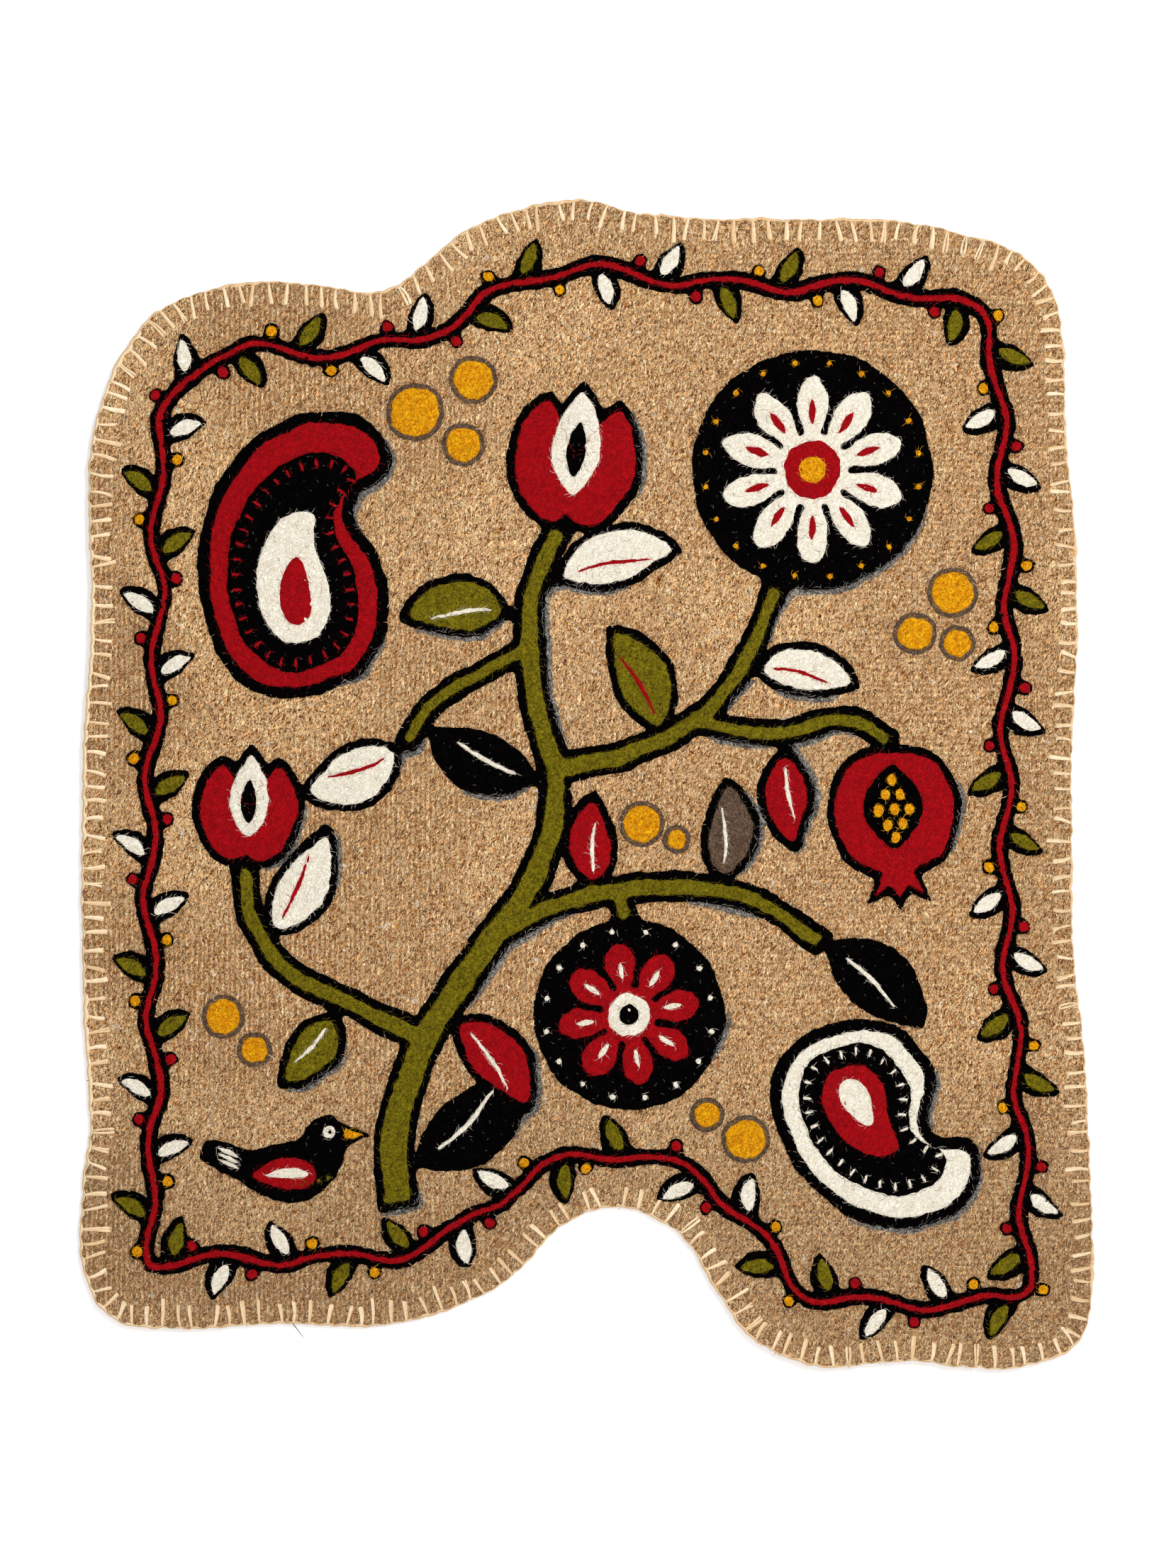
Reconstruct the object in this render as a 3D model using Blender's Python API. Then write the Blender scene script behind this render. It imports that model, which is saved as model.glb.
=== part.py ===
"""Needle felted wall hanging: a soft panel of wool felt, with motifs of dyed wool felted on to its face.

The panel hangs flat on a wall. Its face looks along -Y and its back lies on the wall, on the plane Y = 0.
The origin is on that plane at the top of the panel, halfway across it. X runs to the right and Z up.
Lengths in the tables are millimetres and angles are degrees, anticlockwise as seen from the front.
"""

import math
from collections import namedtuple

import bmesh
import bpy
from mathutils import Vector
from mathutils.geometry import delaunay_2d_cdt

MM = 0.001

# Driving dimensions of the felt panel
FELT_THICKNESS = 4.0
RIM_THICKNESS = 2.0
RIM_ROUNDING = 3.0
RIM_STEP = 28.0
LIFTED_MARGIN = 18.0
LEAST_LIFT = 0.4

# Driving dimensions of the felted wool
WOOL_THICKNESS = 1.0
GAP = 0.3
OUTLINE = 6.0
PAISLEY_OUTLINE = 9.0
JOIN_EPSILON = 1e-5
STRAIGHT_ANGLE = 0.5

# Driving dimensions of the vine that runs round the panel
VINE_INSET = 52.0
VINE_WAVE = 96.0
VINE_SWING = 5.0
VINE_WIDTH = 14.0
VINE_LEAF_LENGTH = 36.0
VINE_LEAF_WIDTH = 15.0
VINE_LEAF_SPREAD = 48.0
VINE_LEAF_BEND = 26.0
VINE_BERRY = 4.6
VINE_BERRY_REACH = 11.0
VINE_OUTLINE = 3.4
VINE_STRETCH = 12

# Heights above the felt at which one layer of wool after another lies
LAYER_STEP = WOOL_THICKNESS + GAP

# The cut edge of the felt, clockwise from the top
EdgePoint = namedtuple("EdgePoint", "place x z")
CUT_EDGE = [
    EdgePoint("top hump", -10, 0),
    EdgePoint("top hump", 45, -7),
    EdgePoint("top edge", 110, -15),
    EdgePoint("top edge", 185, -15),
    EdgePoint("top edge", 252, -17),
    EdgePoint("top right corner", 303, -28),
    EdgePoint("top right corner", 344, -46),
    EdgePoint("top right corner", 371, -82),
    EdgePoint("right edge", 380, -130),
    EdgePoint("right edge", 382, -200),
    EdgePoint("right edge", 389, -275),
    EdgePoint("right edge", 390, -350),
    EdgePoint("right waist", 386, -430),
    EdgePoint("right waist", 386, -530),
    EdgePoint("right waist", 388, -610),
    EdgePoint("right edge", 396, -680),
    EdgePoint("right edge", 400, -770),
    EdgePoint("bottom right corner", 402, -858),
    EdgePoint("bottom right corner", 391, -908),
    EdgePoint("bottom right corner", 345, -927),
    EdgePoint("bottom right lobe", 270, -930),
    EdgePoint("bottom right lobe", 185, -927),
    EdgePoint("bottom right lobe", 134, -906),
    EdgePoint("notch side", 104, -866),
    EdgePoint("notch side", 75, -822),
    EdgePoint("notch crown", 26, -800),
    EdgePoint("notch crown", -19, -815),
    EdgePoint("notch side", -62, -858),
    EdgePoint("notch side", -110, -882),
    EdgePoint("bottom left edge", -165, -895),
    EdgePoint("bottom left edge", -245, -893),
    EdgePoint("bottom left edge", -335, -897),
    EdgePoint("bottom left corner", -381, -885),
    EdgePoint("bottom left corner", -400, -845),
    EdgePoint("left edge", -400, -790),
    EdgePoint("left waist", -394, -735),
    EdgePoint("left edge", -398, -650),
    EdgePoint("left edge", -400, -550),
    EdgePoint("left edge", -398, -430),
    EdgePoint("left edge", -392, -330),
    EdgePoint("left shoulder", -394, -215),
    EdgePoint("left shoulder", -382, -145),
    EdgePoint("top left corner", -348, -92),
    EdgePoint("top left hump", -300, -69),
    EdgePoint("top left hump", -240, -65),
    EdgePoint("saddle", -180, -73),
    EdgePoint("saddle", -133, -55),
    EdgePoint("top hump", -83, -18),
]

# How the felt's margin lifts off the wall: waves round the edge, their height and where they start
Lift = namedtuple("Lift", "waves height start")
MARGIN_LIFTS = [
    Lift(2, 1.5, 200),
    Lift(5, 1.1, 60),
    Lift(11, 0.7, 130),
]

# Stems of the tree, each from its root to its tip
Stem = namedtuple("Stem", "name root_width tip_width points")
STEMS = [
    Stem("trunk", 22, 12, [(-150, -798), (-152, -740), (-128, -668), (-84, -600), (-40, -536), (-24, -466),
                           (-42, -392), (-44, -316), (-22, -262)]),
    Stem("right branch", 14, 10, [(-26, -452), (34, -440), (92, -410), (130, -360), (150, -308)]),
    Stem("pomegranate branch", 11, 9, [(84, -414), (150, -424), (206, -412), (241, -430)]),
    Stem("low branch", 13, 10, [(-72, -584), (-10, -556), (66, -546), (132, -556), (186, -590)]),
    Stem("flower stalk", 9, 9, [(26, -552), (32, -572)]),
    Stem("left branch", 13, 10, [(-128, -668), (-186, -640), (-242, -610), (-268, -566), (-272, -532)]),
    Stem("drop branch", 10, 8, [(-44, -356), (-84, -376), (-122, -400), (-142, -430)]),
]
STEM_STEP = 18.0

# Leaves of the tree, each from where it joins its stem
Leaf = namedtuple("Leaf", "x z angle length width bend wool")
LEAVES = [
    Leaf(-52, -330, 78, 78, 40, -34, "olive"),
    Leaf(-30, -306, -62, 92, 42, 34, "white"),
    Leaf(-32, -462, 78, 84, 38, 30, "black"),
    Leaf(-142, -768, -64, 100, 46, -36, "black"),
    Leaf(-112, -648, -126, 84, 40, 34, "red"),
    Leaf(-196, -640, 152, 62, 32, 26, "olive"),
    Leaf(-258, -590, -40, 86, 38, -28, "white"),
    Leaf(60, -432, 12, 84, 40, -34, "olive"),
    Leaf(126, -372, -88, 74, 34, 30, "white"),
    Leaf(160, -428, 176, 70, 34, -24, "red"),
    Leaf(10, -556, 12, 66, 34, 24, "red"),
    Leaf(104, -550, -16, 72, 36, -30, "brown"),
    Leaf(-142, -430, 128, 76, 42, 34, "white"),
    Leaf(186, -590, -120, 88, 42, 26, "black"),
]
LEAF_STALK = 14.0
LEAF_STALK_WIDTH = 11.0

# Ochre dots of wool, which lie on the bare felt
Dot = namedtuple("Dot", "x z radius")
DOTS = [
    Dot(-136, -168, 20),
    Dot(-90, -142, 16),
    Dot(-98, -194, 14),
    Dot(292, -312, 17),
    Dot(262, -344, 14),
    Dot(296, -352, 11),
    Dot(-289, -650, 14),
    Dot(-264, -676, 11),
    Dot(44, -496, 15),
    Dot(72, -508, 8),
    Dot(127, -747, 16),
    Dot(96, -728, 11),
]
DOT_HALO = 3.5

# Round flowers on black discs. Petals, middle and eye are shares of the flower's radius
Rosette = namedtuple("Rosette", "name x z radius disc petals turn petal_wool eye_wool")
ROSETTES = [
    Rosette("sun_flower", 180, -214, 76, 96, 10, 0, "white", "red"),
    Rosette("low_flower", 34, -648, 58, 76, 8, 10, "red", "white"),
]
PETAL_START = 0.22
PETAL_LENGTH = 0.78
PETAL_CROWDING = 0.57
MIDDLE_RADIUS = 0.38
EYE_RADIUS = 0.31

# Tulips at the ends of stems. Petals and heart are shares of the tulip's size
Tulip = namedtuple("Tulip", "name x z angle size")
TULIPS = [
    Tulip("top_tulip", -16, -256, -8, 100),
    Tulip("left_tulip", -271, -525, -3, 80),
]
TULIP_PETAL_WIDTH = 0.50
TULIP_PETAL_BEND = 34
TULIP_PETAL_LEAN = 27
TULIP_PETAL_SHIFT = 0.06
TULIP_HEART_START = 0.22
TULIP_HEART_LENGTH = 0.84
TULIP_HEART_WIDTH = 0.40

# Paisley drops. side is -1 for one whose tip hooks the other way
Paisley = namedtuple("Paisley", "name x z angle length width side rim body core")
PAISLEYS = [
    Paisley("great_paisley", -214, -384, 16, 226, 132, 1, "red", "black", "white"),
    Paisley("low_paisley", 198, -664, 196, 172, 116, -1, "white", "black", "red"),
]

# Each drop of a paisley, as shares of the whole: its length, width and start, and how its tip bends
Drop = namedtuple("Drop", "part length width start bend hook belly")
PAISLEY_DROPS = [
    Drop("rim", 1.00, 1.00, 0.000, 150, 2.6, 0.34),
    Drop("body", 0.82, 0.78, 0.055, 130, 2.5, 0.35),
    Drop("core", 0.48, 0.44, 0.150, 70, 2.2, 0.37),
]

POMEGRANATE_PLACE = (245, -486)
POMEGRANATE_TURN = 184
POMEGRANATE_RADIUS = 48
POMEGRANATE_HALF = [(0, -1), (0.72, -0.78), (1, 0), (0.72, 0.74), (0.22, 1.0)]
POMEGRANATE_WINDOW_START = -0.80
POMEGRANATE_WINDOW_LENGTH = 1.46
POMEGRANATE_CROWN = [(-0.2, 0.9), (-0.42, 1.42), (-0.14, 1.2), (0, 1.5), (0.14, 1.2), (0.42, 1.42),
                     (0.2, 0.9)]

BIRD_PLACE = (-235, -774)
BIRD_SIZE = 0.71
BIRD_BODY = [(60, 40), (54, 14), (34, -16), (4, -30), (-30, -24), (-58, -6), (-98, 18), (-92, 34),
             (-50, 22), (-18, 28), (12, 36), (26, 56), (46, 62)]
BIRD_BEAK = [(56, 54), (84, 42), (58, 34)]
BIRD_WING_ROOT = (30, -4)
BIRD_WING_LENGTH = 76
BIRD_WING_WIDTH = 36
BIRD_WING_BEND = -26
BIRD_WING_TURN = 80

# Dyed wools: sRGB hex and roughness
Wool = namedtuple("Wool", "hex roughness")
WOOLS = {
    "felt": Wool("B98F63", 0.95),
    "black": Wool("0A0606", 0.9),
    "red": Wool("96040A", 0.9),
    "olive": Wool("72600E", 0.9),
    "white": Wool("F0E4CC", 0.9),
    "ochre": Wool("F0AA08", 0.9),
    "brown": Wool("594130", 0.9),
}


# Flat outlines

def turned(points, angle=0.0, at=(0.0, 0.0)):
    """The points turned by an angle, then moved to a place."""
    cos, sin = math.cos(math.radians(angle)), math.sin(math.radians(angle))
    return [(x * cos - z * sin + at[0], x * sin + z * cos + at[1]) for x, z in points]


def smooth_line(points, step, closed=False):
    """A Catmull-Rom curve through the points, with a point about every step."""
    count = len(points)

    def pick(i):
        return points[i % count] if closed else points[min(max(i, 0), count - 1)]

    line = []
    for i in range(count if closed else count - 1):
        a, b, c, d = (pick(i + k) for k in (-1, 0, 1, 2))
        steps = max(1, round(math.dist(b, c) / step))
        for k in range(steps):
            t = k / steps
            line.append(tuple(
                0.5 * (2 * b[n] + (c[n] - a[n]) * t + (2 * a[n] - 5 * b[n] + 4 * c[n] - d[n]) * t * t
                       + (3 * b[n] - a[n] - 3 * c[n] + d[n]) * t ** 3)
                for n in (0, 1)
            ))
    if not closed:
        line.append(tuple(points[-1]))
    return line


def even_line(line, step, closed=False):
    """The line again, with its points evenly spaced."""
    whole = line + line[:1] if closed else line
    run = [0.0]
    for a, b in zip(whole, whole[1:]):
        run.append(run[-1] + math.dist(a, b))
    count = max(2, round(run[-1] / step))
    made = []
    k = 0
    for i in range(count if closed else count + 1):
        want = run[-1] * i / count
        while k < len(run) - 2 and run[k + 1] < want:
            k += 1
        t = (want - run[k]) / (run[k + 1] - run[k])
        made.append(tuple(whole[k][n] + (whole[k + 1][n] - whole[k][n]) * t for n in (0, 1)))
    return made


def across(line, i, closed=False):
    """The unit vector to the left of a line at its point i."""
    count = len(line)
    a = line[(i - 1) % count] if closed else line[max(i - 1, 0)]
    b = line[(i + 1) % count] if closed else line[min(i + 1, count - 1)]
    size = math.dist(a, b)
    return -(b[1] - a[1]) / size, (b[0] - a[0]) / size


def turning(outline):
    """1 where a closed outline runs anticlockwise, and -1 where it runs clockwise."""
    pairs = zip(outline[-1:] + outline, outline)
    return math.copysign(1.0, sum(ax * bz - bx * az for (ax, az), (bx, bz) in pairs))


def grown(outline, distance):
    """A closed outline grown by a distance, or shrunk by a negative one."""
    count = len(outline)
    side = turning(outline)
    made = []
    for i, (x, z) in enumerate(outline):
        before, after = outline[i - 1], outline[(i + 1) % count]
        first, second = math.dist(before, (x, z)), math.dist((x, z), after)
        nx = ((z - before[1]) / first + (after[1] - z) / second) * side
        nz = -((x - before[0]) / first + (after[0] - x) / second) * side
        size = math.hypot(nx, nz)
        reach = min(1.5, 2 / size) * distance
        made.append((x + nx / size * reach, z + nz / size * reach))
    return made


def eased(outline, reach, rounds):
    """A closed outline whose points are averaged with their neighbours."""
    count = len(outline)
    share = 2 * reach + 1
    for _ in range(rounds):
        outline = [
            tuple(sum(outline[(i + k) % count][n] for k in range(-reach, reach + 1)) / share for n in (0, 1))
            for i in range(count)
        ]
    return outline


def ribbon(line, start_width, end_width):
    """The outline of a stroke along a line, from one width to another."""
    left, right = [], []
    for i, (x, z) in enumerate(line):
        nx, nz = across(line, i)
        half = (start_width + (end_width - start_width) * i / (len(line) - 1)) / 2
        left.append((x + nx * half, z + nz * half))
        right.append((x - nx * half, z - nz * half))
    return left + right[::-1]


def longer(line, reach):
    """The line with both of its ends drawn out."""
    def past(end, inner):
        size = math.dist(end, inner)
        return tuple(end[n] + (end[n] - inner[n]) / size * reach for n in (0, 1))

    return [past(line[0], line[1]), *line, past(line[-1], line[-2])]


def blade(length, width, bend=0.0, belly=0.45, fullness=0.8, hook=1.0, steps=8):
    """A leaf, petal or paisley drop whose midrib runs up from the origin and bends by an angle in all."""
    power = math.log(0.5) / math.log(belly)

    def share(i):
        return (1 - math.cos(math.pi * i / steps)) / 2

    x = z = 0.0
    left, right = [], []
    for i in range(steps + 1):
        t = share(i)
        heading = math.radians(bend) * t ** hook
        half = width / 2 * max(0.0, math.sin(math.pi * t ** power)) ** fullness
        left.append((x - math.cos(heading) * half, z + math.sin(heading) * half))
        right.append((x + math.cos(heading) * half, z - math.sin(heading) * half))
        run = length * (share(i + 1) - t)
        x += math.sin(heading) * run
        z += math.cos(heading) * run
    return left + right[1:-1][::-1]


def disc(radius, at=(0.0, 0.0), steps=16):
    """A round outline."""
    return [turned([(radius, 0)], 360 * i / steps, at)[0] for i in range(steps)]


# Outlines of the motifs

def cut_edge(step):
    """The felt's cut edge, with a point about every step."""
    return smooth_line([(point.x, point.z) for point in CUT_EDGE], step, closed=True)


def vine_outlines():
    """The vine that runs round the panel: short lengths of its stem, its leaves and its berries."""
    line = even_line(eased(grown(cut_edge(10), -VINE_INSET), 3, 2), VINE_WAVE / 6, closed=True)
    leaves = 2 * round(len(line) / 6)
    swung = []
    for i, (x, z) in enumerate(line):
        nx, nz = across(line, i, closed=True)
        swing = VINE_SWING * math.sin(math.pi * i * leaves / len(line))
        swung.append((x + nx * swing, z + nz * swing))
    count = len(swung)
    outlines = []
    for i in range(0, count, VINE_STRETCH):
        stretch = [swung[(i + k) % count] for k in range(VINE_STRETCH + 1)]
        outlines.append(ribbon(longer(stretch, 1.0), VINE_WIDTH, VINE_WIDTH))
    for k in range(leaves):
        i = round((k + 0.5) * count / leaves)
        side = 1 if k % 2 else -1
        nx, nz = across(swung, i % count, closed=True)
        heading = math.degrees(math.atan2(-nx, nz)) - 90
        leaf = blade(VINE_LEAF_LENGTH, VINE_LEAF_WIDTH, -VINE_LEAF_BEND * side, steps=4)
        root = swung[(i - 1) % count]
        outlines.append(turned(grown(leaf, VINE_OUTLINE), heading + VINE_LEAF_SPREAD * side, root))
        x, z = swung[(i + 1) % count]
        berry_place = (x - nx * side * VINE_BERRY_REACH, z - nz * side * VINE_BERRY_REACH)
        outlines.append(disc(VINE_BERRY + VINE_OUTLINE - 1, berry_place, 6))
    return outlines


def stem_line(stem):
    return even_line(smooth_line(stem.points, STEM_STEP / 2), STEM_STEP)


def leaf_outline(leaf):
    flat = turned(blade(leaf.length, leaf.width, leaf.bend, steps=7), 0, (0, LEAF_STALK))
    return turned(flat, leaf.angle, (leaf.x, leaf.z))


def leaf_stalk(leaf):
    stalk = ribbon([(0, -4), (0, LEAF_STALK + 8)], LEAF_STALK_WIDTH, LEAF_STALK_WIDTH)
    return turned(stalk, leaf.angle, (leaf.x, leaf.z))


def rosette_petals(rosette):
    """The petals of a round flower, joined by a disc at its middle."""
    width = 2 * math.pi * rosette.radius * PETAL_CROWDING / rosette.petals
    petal = turned(blade(rosette.radius * PETAL_LENGTH, width, belly=0.62, fullness=0.62, steps=6), 0,
                   (0, rosette.radius * PETAL_START))
    turns = [rosette.turn + 360 * k / rosette.petals for k in range(rosette.petals)]
    place = (rosette.x, rosette.z)
    return [turned(petal, turn, place) for turn in turns] + [disc(rosette.radius * MIDDLE_RADIUS, place)]


def tulip_petals(tulip):
    """The two outer petals of a tulip."""
    side = turned(blade(tulip.size, tulip.size * TULIP_PETAL_WIDTH, TULIP_PETAL_BEND, 0.42, 0.72),
                  TULIP_PETAL_LEAN, (-tulip.size * TULIP_PETAL_SHIFT, 0))
    place = (tulip.x, tulip.z)
    return [turned(side, tulip.angle, place), turned([(-x, z) for x, z in side], tulip.angle, place)]


def tulip_heart(tulip):
    """The pointed heart of a tulip, which lies on its petals."""
    flat = blade(tulip.size * TULIP_HEART_LENGTH, tulip.size * TULIP_HEART_WIDTH, 0, 0.46)
    heart = turned(flat, 0, (0, tulip.size * TULIP_HEART_START))
    return turned(heart, tulip.angle, (tulip.x, tulip.z))


def paisley_outline(paisley, drop):
    """One of the drops of a paisley."""
    flat = turned(blade(paisley.length * drop.length, paisley.width * drop.width, drop.bend, drop.belly, 0.57,
                        drop.hook, 14), 0, (0, paisley.length * drop.start))
    return turned([(x * paisley.side, z) for x, z in flat], paisley.angle, (paisley.x, paisley.z))


def pomegranate_outlines():
    """The skin of the pomegranate: its round body and its crown."""
    half = POMEGRANATE_HALF
    whole = half + [(-x, z) for x, z in half[:0:-1]]
    body = smooth_line([(x * POMEGRANATE_RADIUS, z * POMEGRANATE_RADIUS) for x, z in whole], 14, closed=True)
    crown = [(x * POMEGRANATE_RADIUS, z * POMEGRANATE_RADIUS) for x, z in POMEGRANATE_CROWN]
    return [turned(flat, POMEGRANATE_TURN, POMEGRANATE_PLACE) for flat in (body, crown)]


def pomegranate_window():
    """The opening in the pomegranate's skin, where its seeds show."""
    radius = POMEGRANATE_RADIUS
    flat = blade(radius * POMEGRANATE_WINDOW_LENGTH, radius, 0, 0.5, 0.75)
    window = turned(flat, 0, (0, radius * POMEGRANATE_WINDOW_START))
    return turned(window, POMEGRANATE_TURN, POMEGRANATE_PLACE)


def bird_outlines():
    """The bird's body and beak."""
    body = smooth_line([(x * BIRD_SIZE, z * BIRD_SIZE) for x, z in BIRD_BODY], 14, closed=True)
    beak = [(x * BIRD_SIZE, z * BIRD_SIZE) for x, z in BIRD_BEAK]
    return [turned(flat, 0, BIRD_PLACE) for flat in (body, beak)]


def bird_wing():
    """The bird's wing, which runs back from its shoulder."""
    flat = blade(BIRD_WING_LENGTH, BIRD_WING_WIDTH, BIRD_WING_BEND, 0.4, 0.62)
    wing = turned(flat, BIRD_WING_TURN, BIRD_WING_ROOT)
    return turned([(x * BIRD_SIZE, z * BIRD_SIZE) for x, z in wing], 0, BIRD_PLACE)


# Materials

def linear(channel):
    """One sRGB channel, from 0 to 1, as the linear value that a shader takes."""
    return channel / 12.92 if channel <= 0.04045 else ((channel + 0.055) / 1.055) ** 2.4


def wool_material(name):
    """The Principled material of a dyed wool, made once."""
    found = bpy.data.materials.get(name)
    if found:
        return found
    wool = WOOLS[name]
    made = bpy.data.materials.new(name)
    made.use_nodes = True
    shader = made.node_tree.nodes["Principled BSDF"]
    colour = [linear(int(wool.hex[k:k + 2], 16) / 255) for k in (0, 2, 4)]
    shader.inputs["Base Color"].default_value = (*colour, 1.0)
    shader.inputs["Roughness"].default_value = wool.roughness
    shader.inputs["Metallic"].default_value = 0.0
    made.diffuse_color = (*colour, 1.0)
    return made


# Solids

def clear_scene():
    for obj in list(bpy.data.objects):
        bpy.data.objects.remove(obj, do_unlink=True)


def margin_lift(share, depth):
    """How far the back stands off the wall, a share of the way round the edge and a depth inside it."""
    if depth >= LIFTED_MARGIN:
        return 0.0
    most = sum(lift.height for lift in MARGIN_LIFTS)
    lift = LEAST_LIFT + most
    for wave in MARGIN_LIFTS:
        lift += wave.height * math.sin(2 * math.pi * wave.waves * share + math.radians(wave.start))
    return lift * (1 - depth / LIFTED_MARGIN) ** 2


def felt_ground():
    """The felt panel: flat on the wall, with a rounded edge and a margin that lifts a little."""
    edge = even_line(cut_edge(6), RIM_STEP, closed=True)
    count = len(edge)
    mesh = bmesh.new()

    def ring(depth, height):
        """A ring of points at a depth inside the edge and a height above the back."""
        line = grown(edge, -depth) if depth else edge
        return [
            mesh.verts.new((x * MM, -(height + margin_lift(i / count, depth)) * MM, z * MM))
            for i, (x, z) in enumerate(line)
        ]

    slack = (FELT_THICKNESS - RIM_THICKNESS) / 2
    rings = [
        ring(LIFTED_MARGIN, 0),
        ring(LIFTED_MARGIN / 2, 0),
        ring(RIM_ROUNDING, 0),
        ring(0, slack),
        ring(0, FELT_THICKNESS - slack),
        ring(RIM_ROUNDING, FELT_THICKNESS),
        ring(LIFTED_MARGIN / 2, FELT_THICKNESS),
        ring(LIFTED_MARGIN, FELT_THICKNESS),
    ]
    for lower, upper in zip(rings, rings[1:]):
        for i in range(count):
            k = (i + 1) % count
            mesh.faces.new((lower[i], lower[k], upper[k], upper[i]))
    mesh.faces.new(rings[0])
    mesh.faces.new(rings[-1])
    bmesh.ops.recalc_face_normals(mesh, faces=mesh.faces)
    return add_object("felt_ground", mesh, "felt")


def joined_faces(mesh, outlines, at):
    """Adds the area that the outlines cover together, as flat faces that look along -Y."""
    points, loops = [], []
    for outline in outlines:
        loops.append(list(range(len(points), len(points) + len(outline))))
        anticlockwise = outline if turning(outline) > 0 else outline[::-1]
        points.extend(Vector((x - at[0], z - at[1])) for x, z in anticlockwise)
    places, _, triangles, _, _, sources = delaunay_2d_cdt(points, [], loops, 1, JOIN_EPSILON)
    corners = [mesh.verts.new((place.x * MM, 0, place.y * MM)) for place in places]
    for triangle, source in zip(triangles, sources):
        if source:
            mesh.faces.new([corners[k] for k in triangle])
    bmesh.ops.delete(mesh, geom=[corner for corner in corners if not corner.link_faces], context="VERTS")
    bmesh.ops.recalc_face_normals(mesh, faces=mesh.faces)
    mesh.faces.ensure_lookup_table()
    if mesh.faces[0].normal.y > 0:
        bmesh.ops.reverse_faces(mesh, faces=mesh.faces)
    straight = math.radians(STRAIGHT_ANGLE)
    bmesh.ops.dissolve_limit(mesh, angle_limit=straight, verts=mesh.verts, edges=mesh.edges)


def add_object(name, mesh, wool):
    data = bpy.data.meshes.new(name)
    mesh.to_mesh(data)
    mesh.free()
    data.materials.append(wool_material(wool))
    obj = bpy.data.objects.new(name, data)
    bpy.context.scene.collection.objects.link(obj)
    return obj


def felted_wool(name, wool, outlines, layer, ground, at=(0.0, 0.0)):
    """A layer of wool that fills the outlines. Layer 0 lies on the felt and each next one on the last."""
    mesh = bmesh.new()
    joined_faces(mesh, outlines, at)
    obj = add_object(name, mesh, wool)
    back = FELT_THICKNESS + GAP + layer * LAYER_STEP
    obj.location = (at[0] * MM, -(back + WOOL_THICKNESS) * MM, at[1] * MM)
    thicken = obj.modifiers.new("wool thickness", "SOLIDIFY")
    thicken.thickness = WOOL_THICKNESS * MM
    thicken.offset = -1.0
    obj.parent = ground
    return obj


def add_border(ground):
    felted_wool("border_vine", "black", vine_outlines(), 0, ground)


def add_tree(ground):
    """The tree: one black piece under all of it, then its stems, leaves, flowers and fruit."""
    black = []
    for stem in STEMS:
        extra = 2 * OUTLINE
        line = longer(stem_line(stem), OUTLINE)
        black.append(ribbon(line, stem.root_width + extra, stem.tip_width + extra))
    for leaf in LEAVES:
        black.extend([grown(leaf_outline(leaf), OUTLINE), leaf_stalk(leaf)])
    for rosette in ROSETTES:
        black.append(disc(rosette.disc, (rosette.x, rosette.z), 28))
    for tulip in TULIPS:
        black.extend(grown(petal, OUTLINE) for petal in [*tulip_petals(tulip), tulip_heart(tulip)])
    black.extend(grown(outline, OUTLINE) for outline in pomegranate_outlines())
    felted_wool("tree_black", "black", black, 0, ground)
    stems = [ribbon(stem_line(stem), stem.root_width, stem.tip_width) for stem in STEMS]
    felted_wool("tree_stems", "olive", stems, 1, ground)


def add_leaves(ground):
    coloured = [leaf for leaf in LEAVES if leaf.wool != "black"]
    for i, leaf in enumerate(coloured, 1):
        felted_wool(f"leaf_{i:02d}_{leaf.wool}", leaf.wool, [leaf_outline(leaf)], 1, ground, (leaf.x, leaf.z))


def add_rosettes(ground):
    for rosette in ROSETTES:
        place = (rosette.x, rosette.z)
        felted_wool(f"{rosette.name}_petals", rosette.petal_wool, rosette_petals(rosette), 1, ground, place)
        eye = disc(rosette.radius * EYE_RADIUS, place, 14)
        felted_wool(f"{rosette.name}_eye", rosette.eye_wool, [eye], 2, ground, place)


def add_tulips(ground):
    for tulip in TULIPS:
        place = (tulip.x, tulip.z)
        felted_wool(f"{tulip.name}_petals", "red", tulip_petals(tulip), 1, ground, place)
        felted_wool(f"{tulip.name}_heart", "white", [tulip_heart(tulip)], 2, ground, place)


def add_paisleys(ground):
    for paisley in PAISLEYS:
        place = (paisley.x, paisley.z)
        rim, body, core = (paisley_outline(paisley, drop) for drop in PAISLEY_DROPS)
        felted_wool(f"{paisley.name}_black", "black", [grown(rim, PAISLEY_OUTLINE)], 0, ground, place)
        felted_wool(f"{paisley.name}_rim", paisley.rim, [rim], 1, ground, place)
        felted_wool(f"{paisley.name}_body", paisley.body, [body], 2, ground, place)
        felted_wool(f"{paisley.name}_core", paisley.core, [core], 3, ground, place)


def add_pomegranate(ground):
    place = POMEGRANATE_PLACE
    felted_wool("pomegranate_skin", "red", pomegranate_outlines(), 1, ground, place)
    felted_wool("pomegranate_window", "black", [pomegranate_window()], 2, ground, place)


def add_bird(ground):
    body = [grown(outline, OUTLINE / 2) for outline in bird_outlines()]
    felted_wool("bird_body", "black", body, 0, ground, BIRD_PLACE)
    felted_wool("bird_wing", "red", [bird_wing()], 1, ground, BIRD_PLACE)


def add_dots(ground):
    for i, dot in enumerate(DOTS, 1):
        place = (dot.x, dot.z)
        outline = disc(dot.radius + DOT_HALO, place, 14)
        felted_wool(f"ochre_dot_{i:02d}", "ochre", [outline], 0, ground, place)


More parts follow.
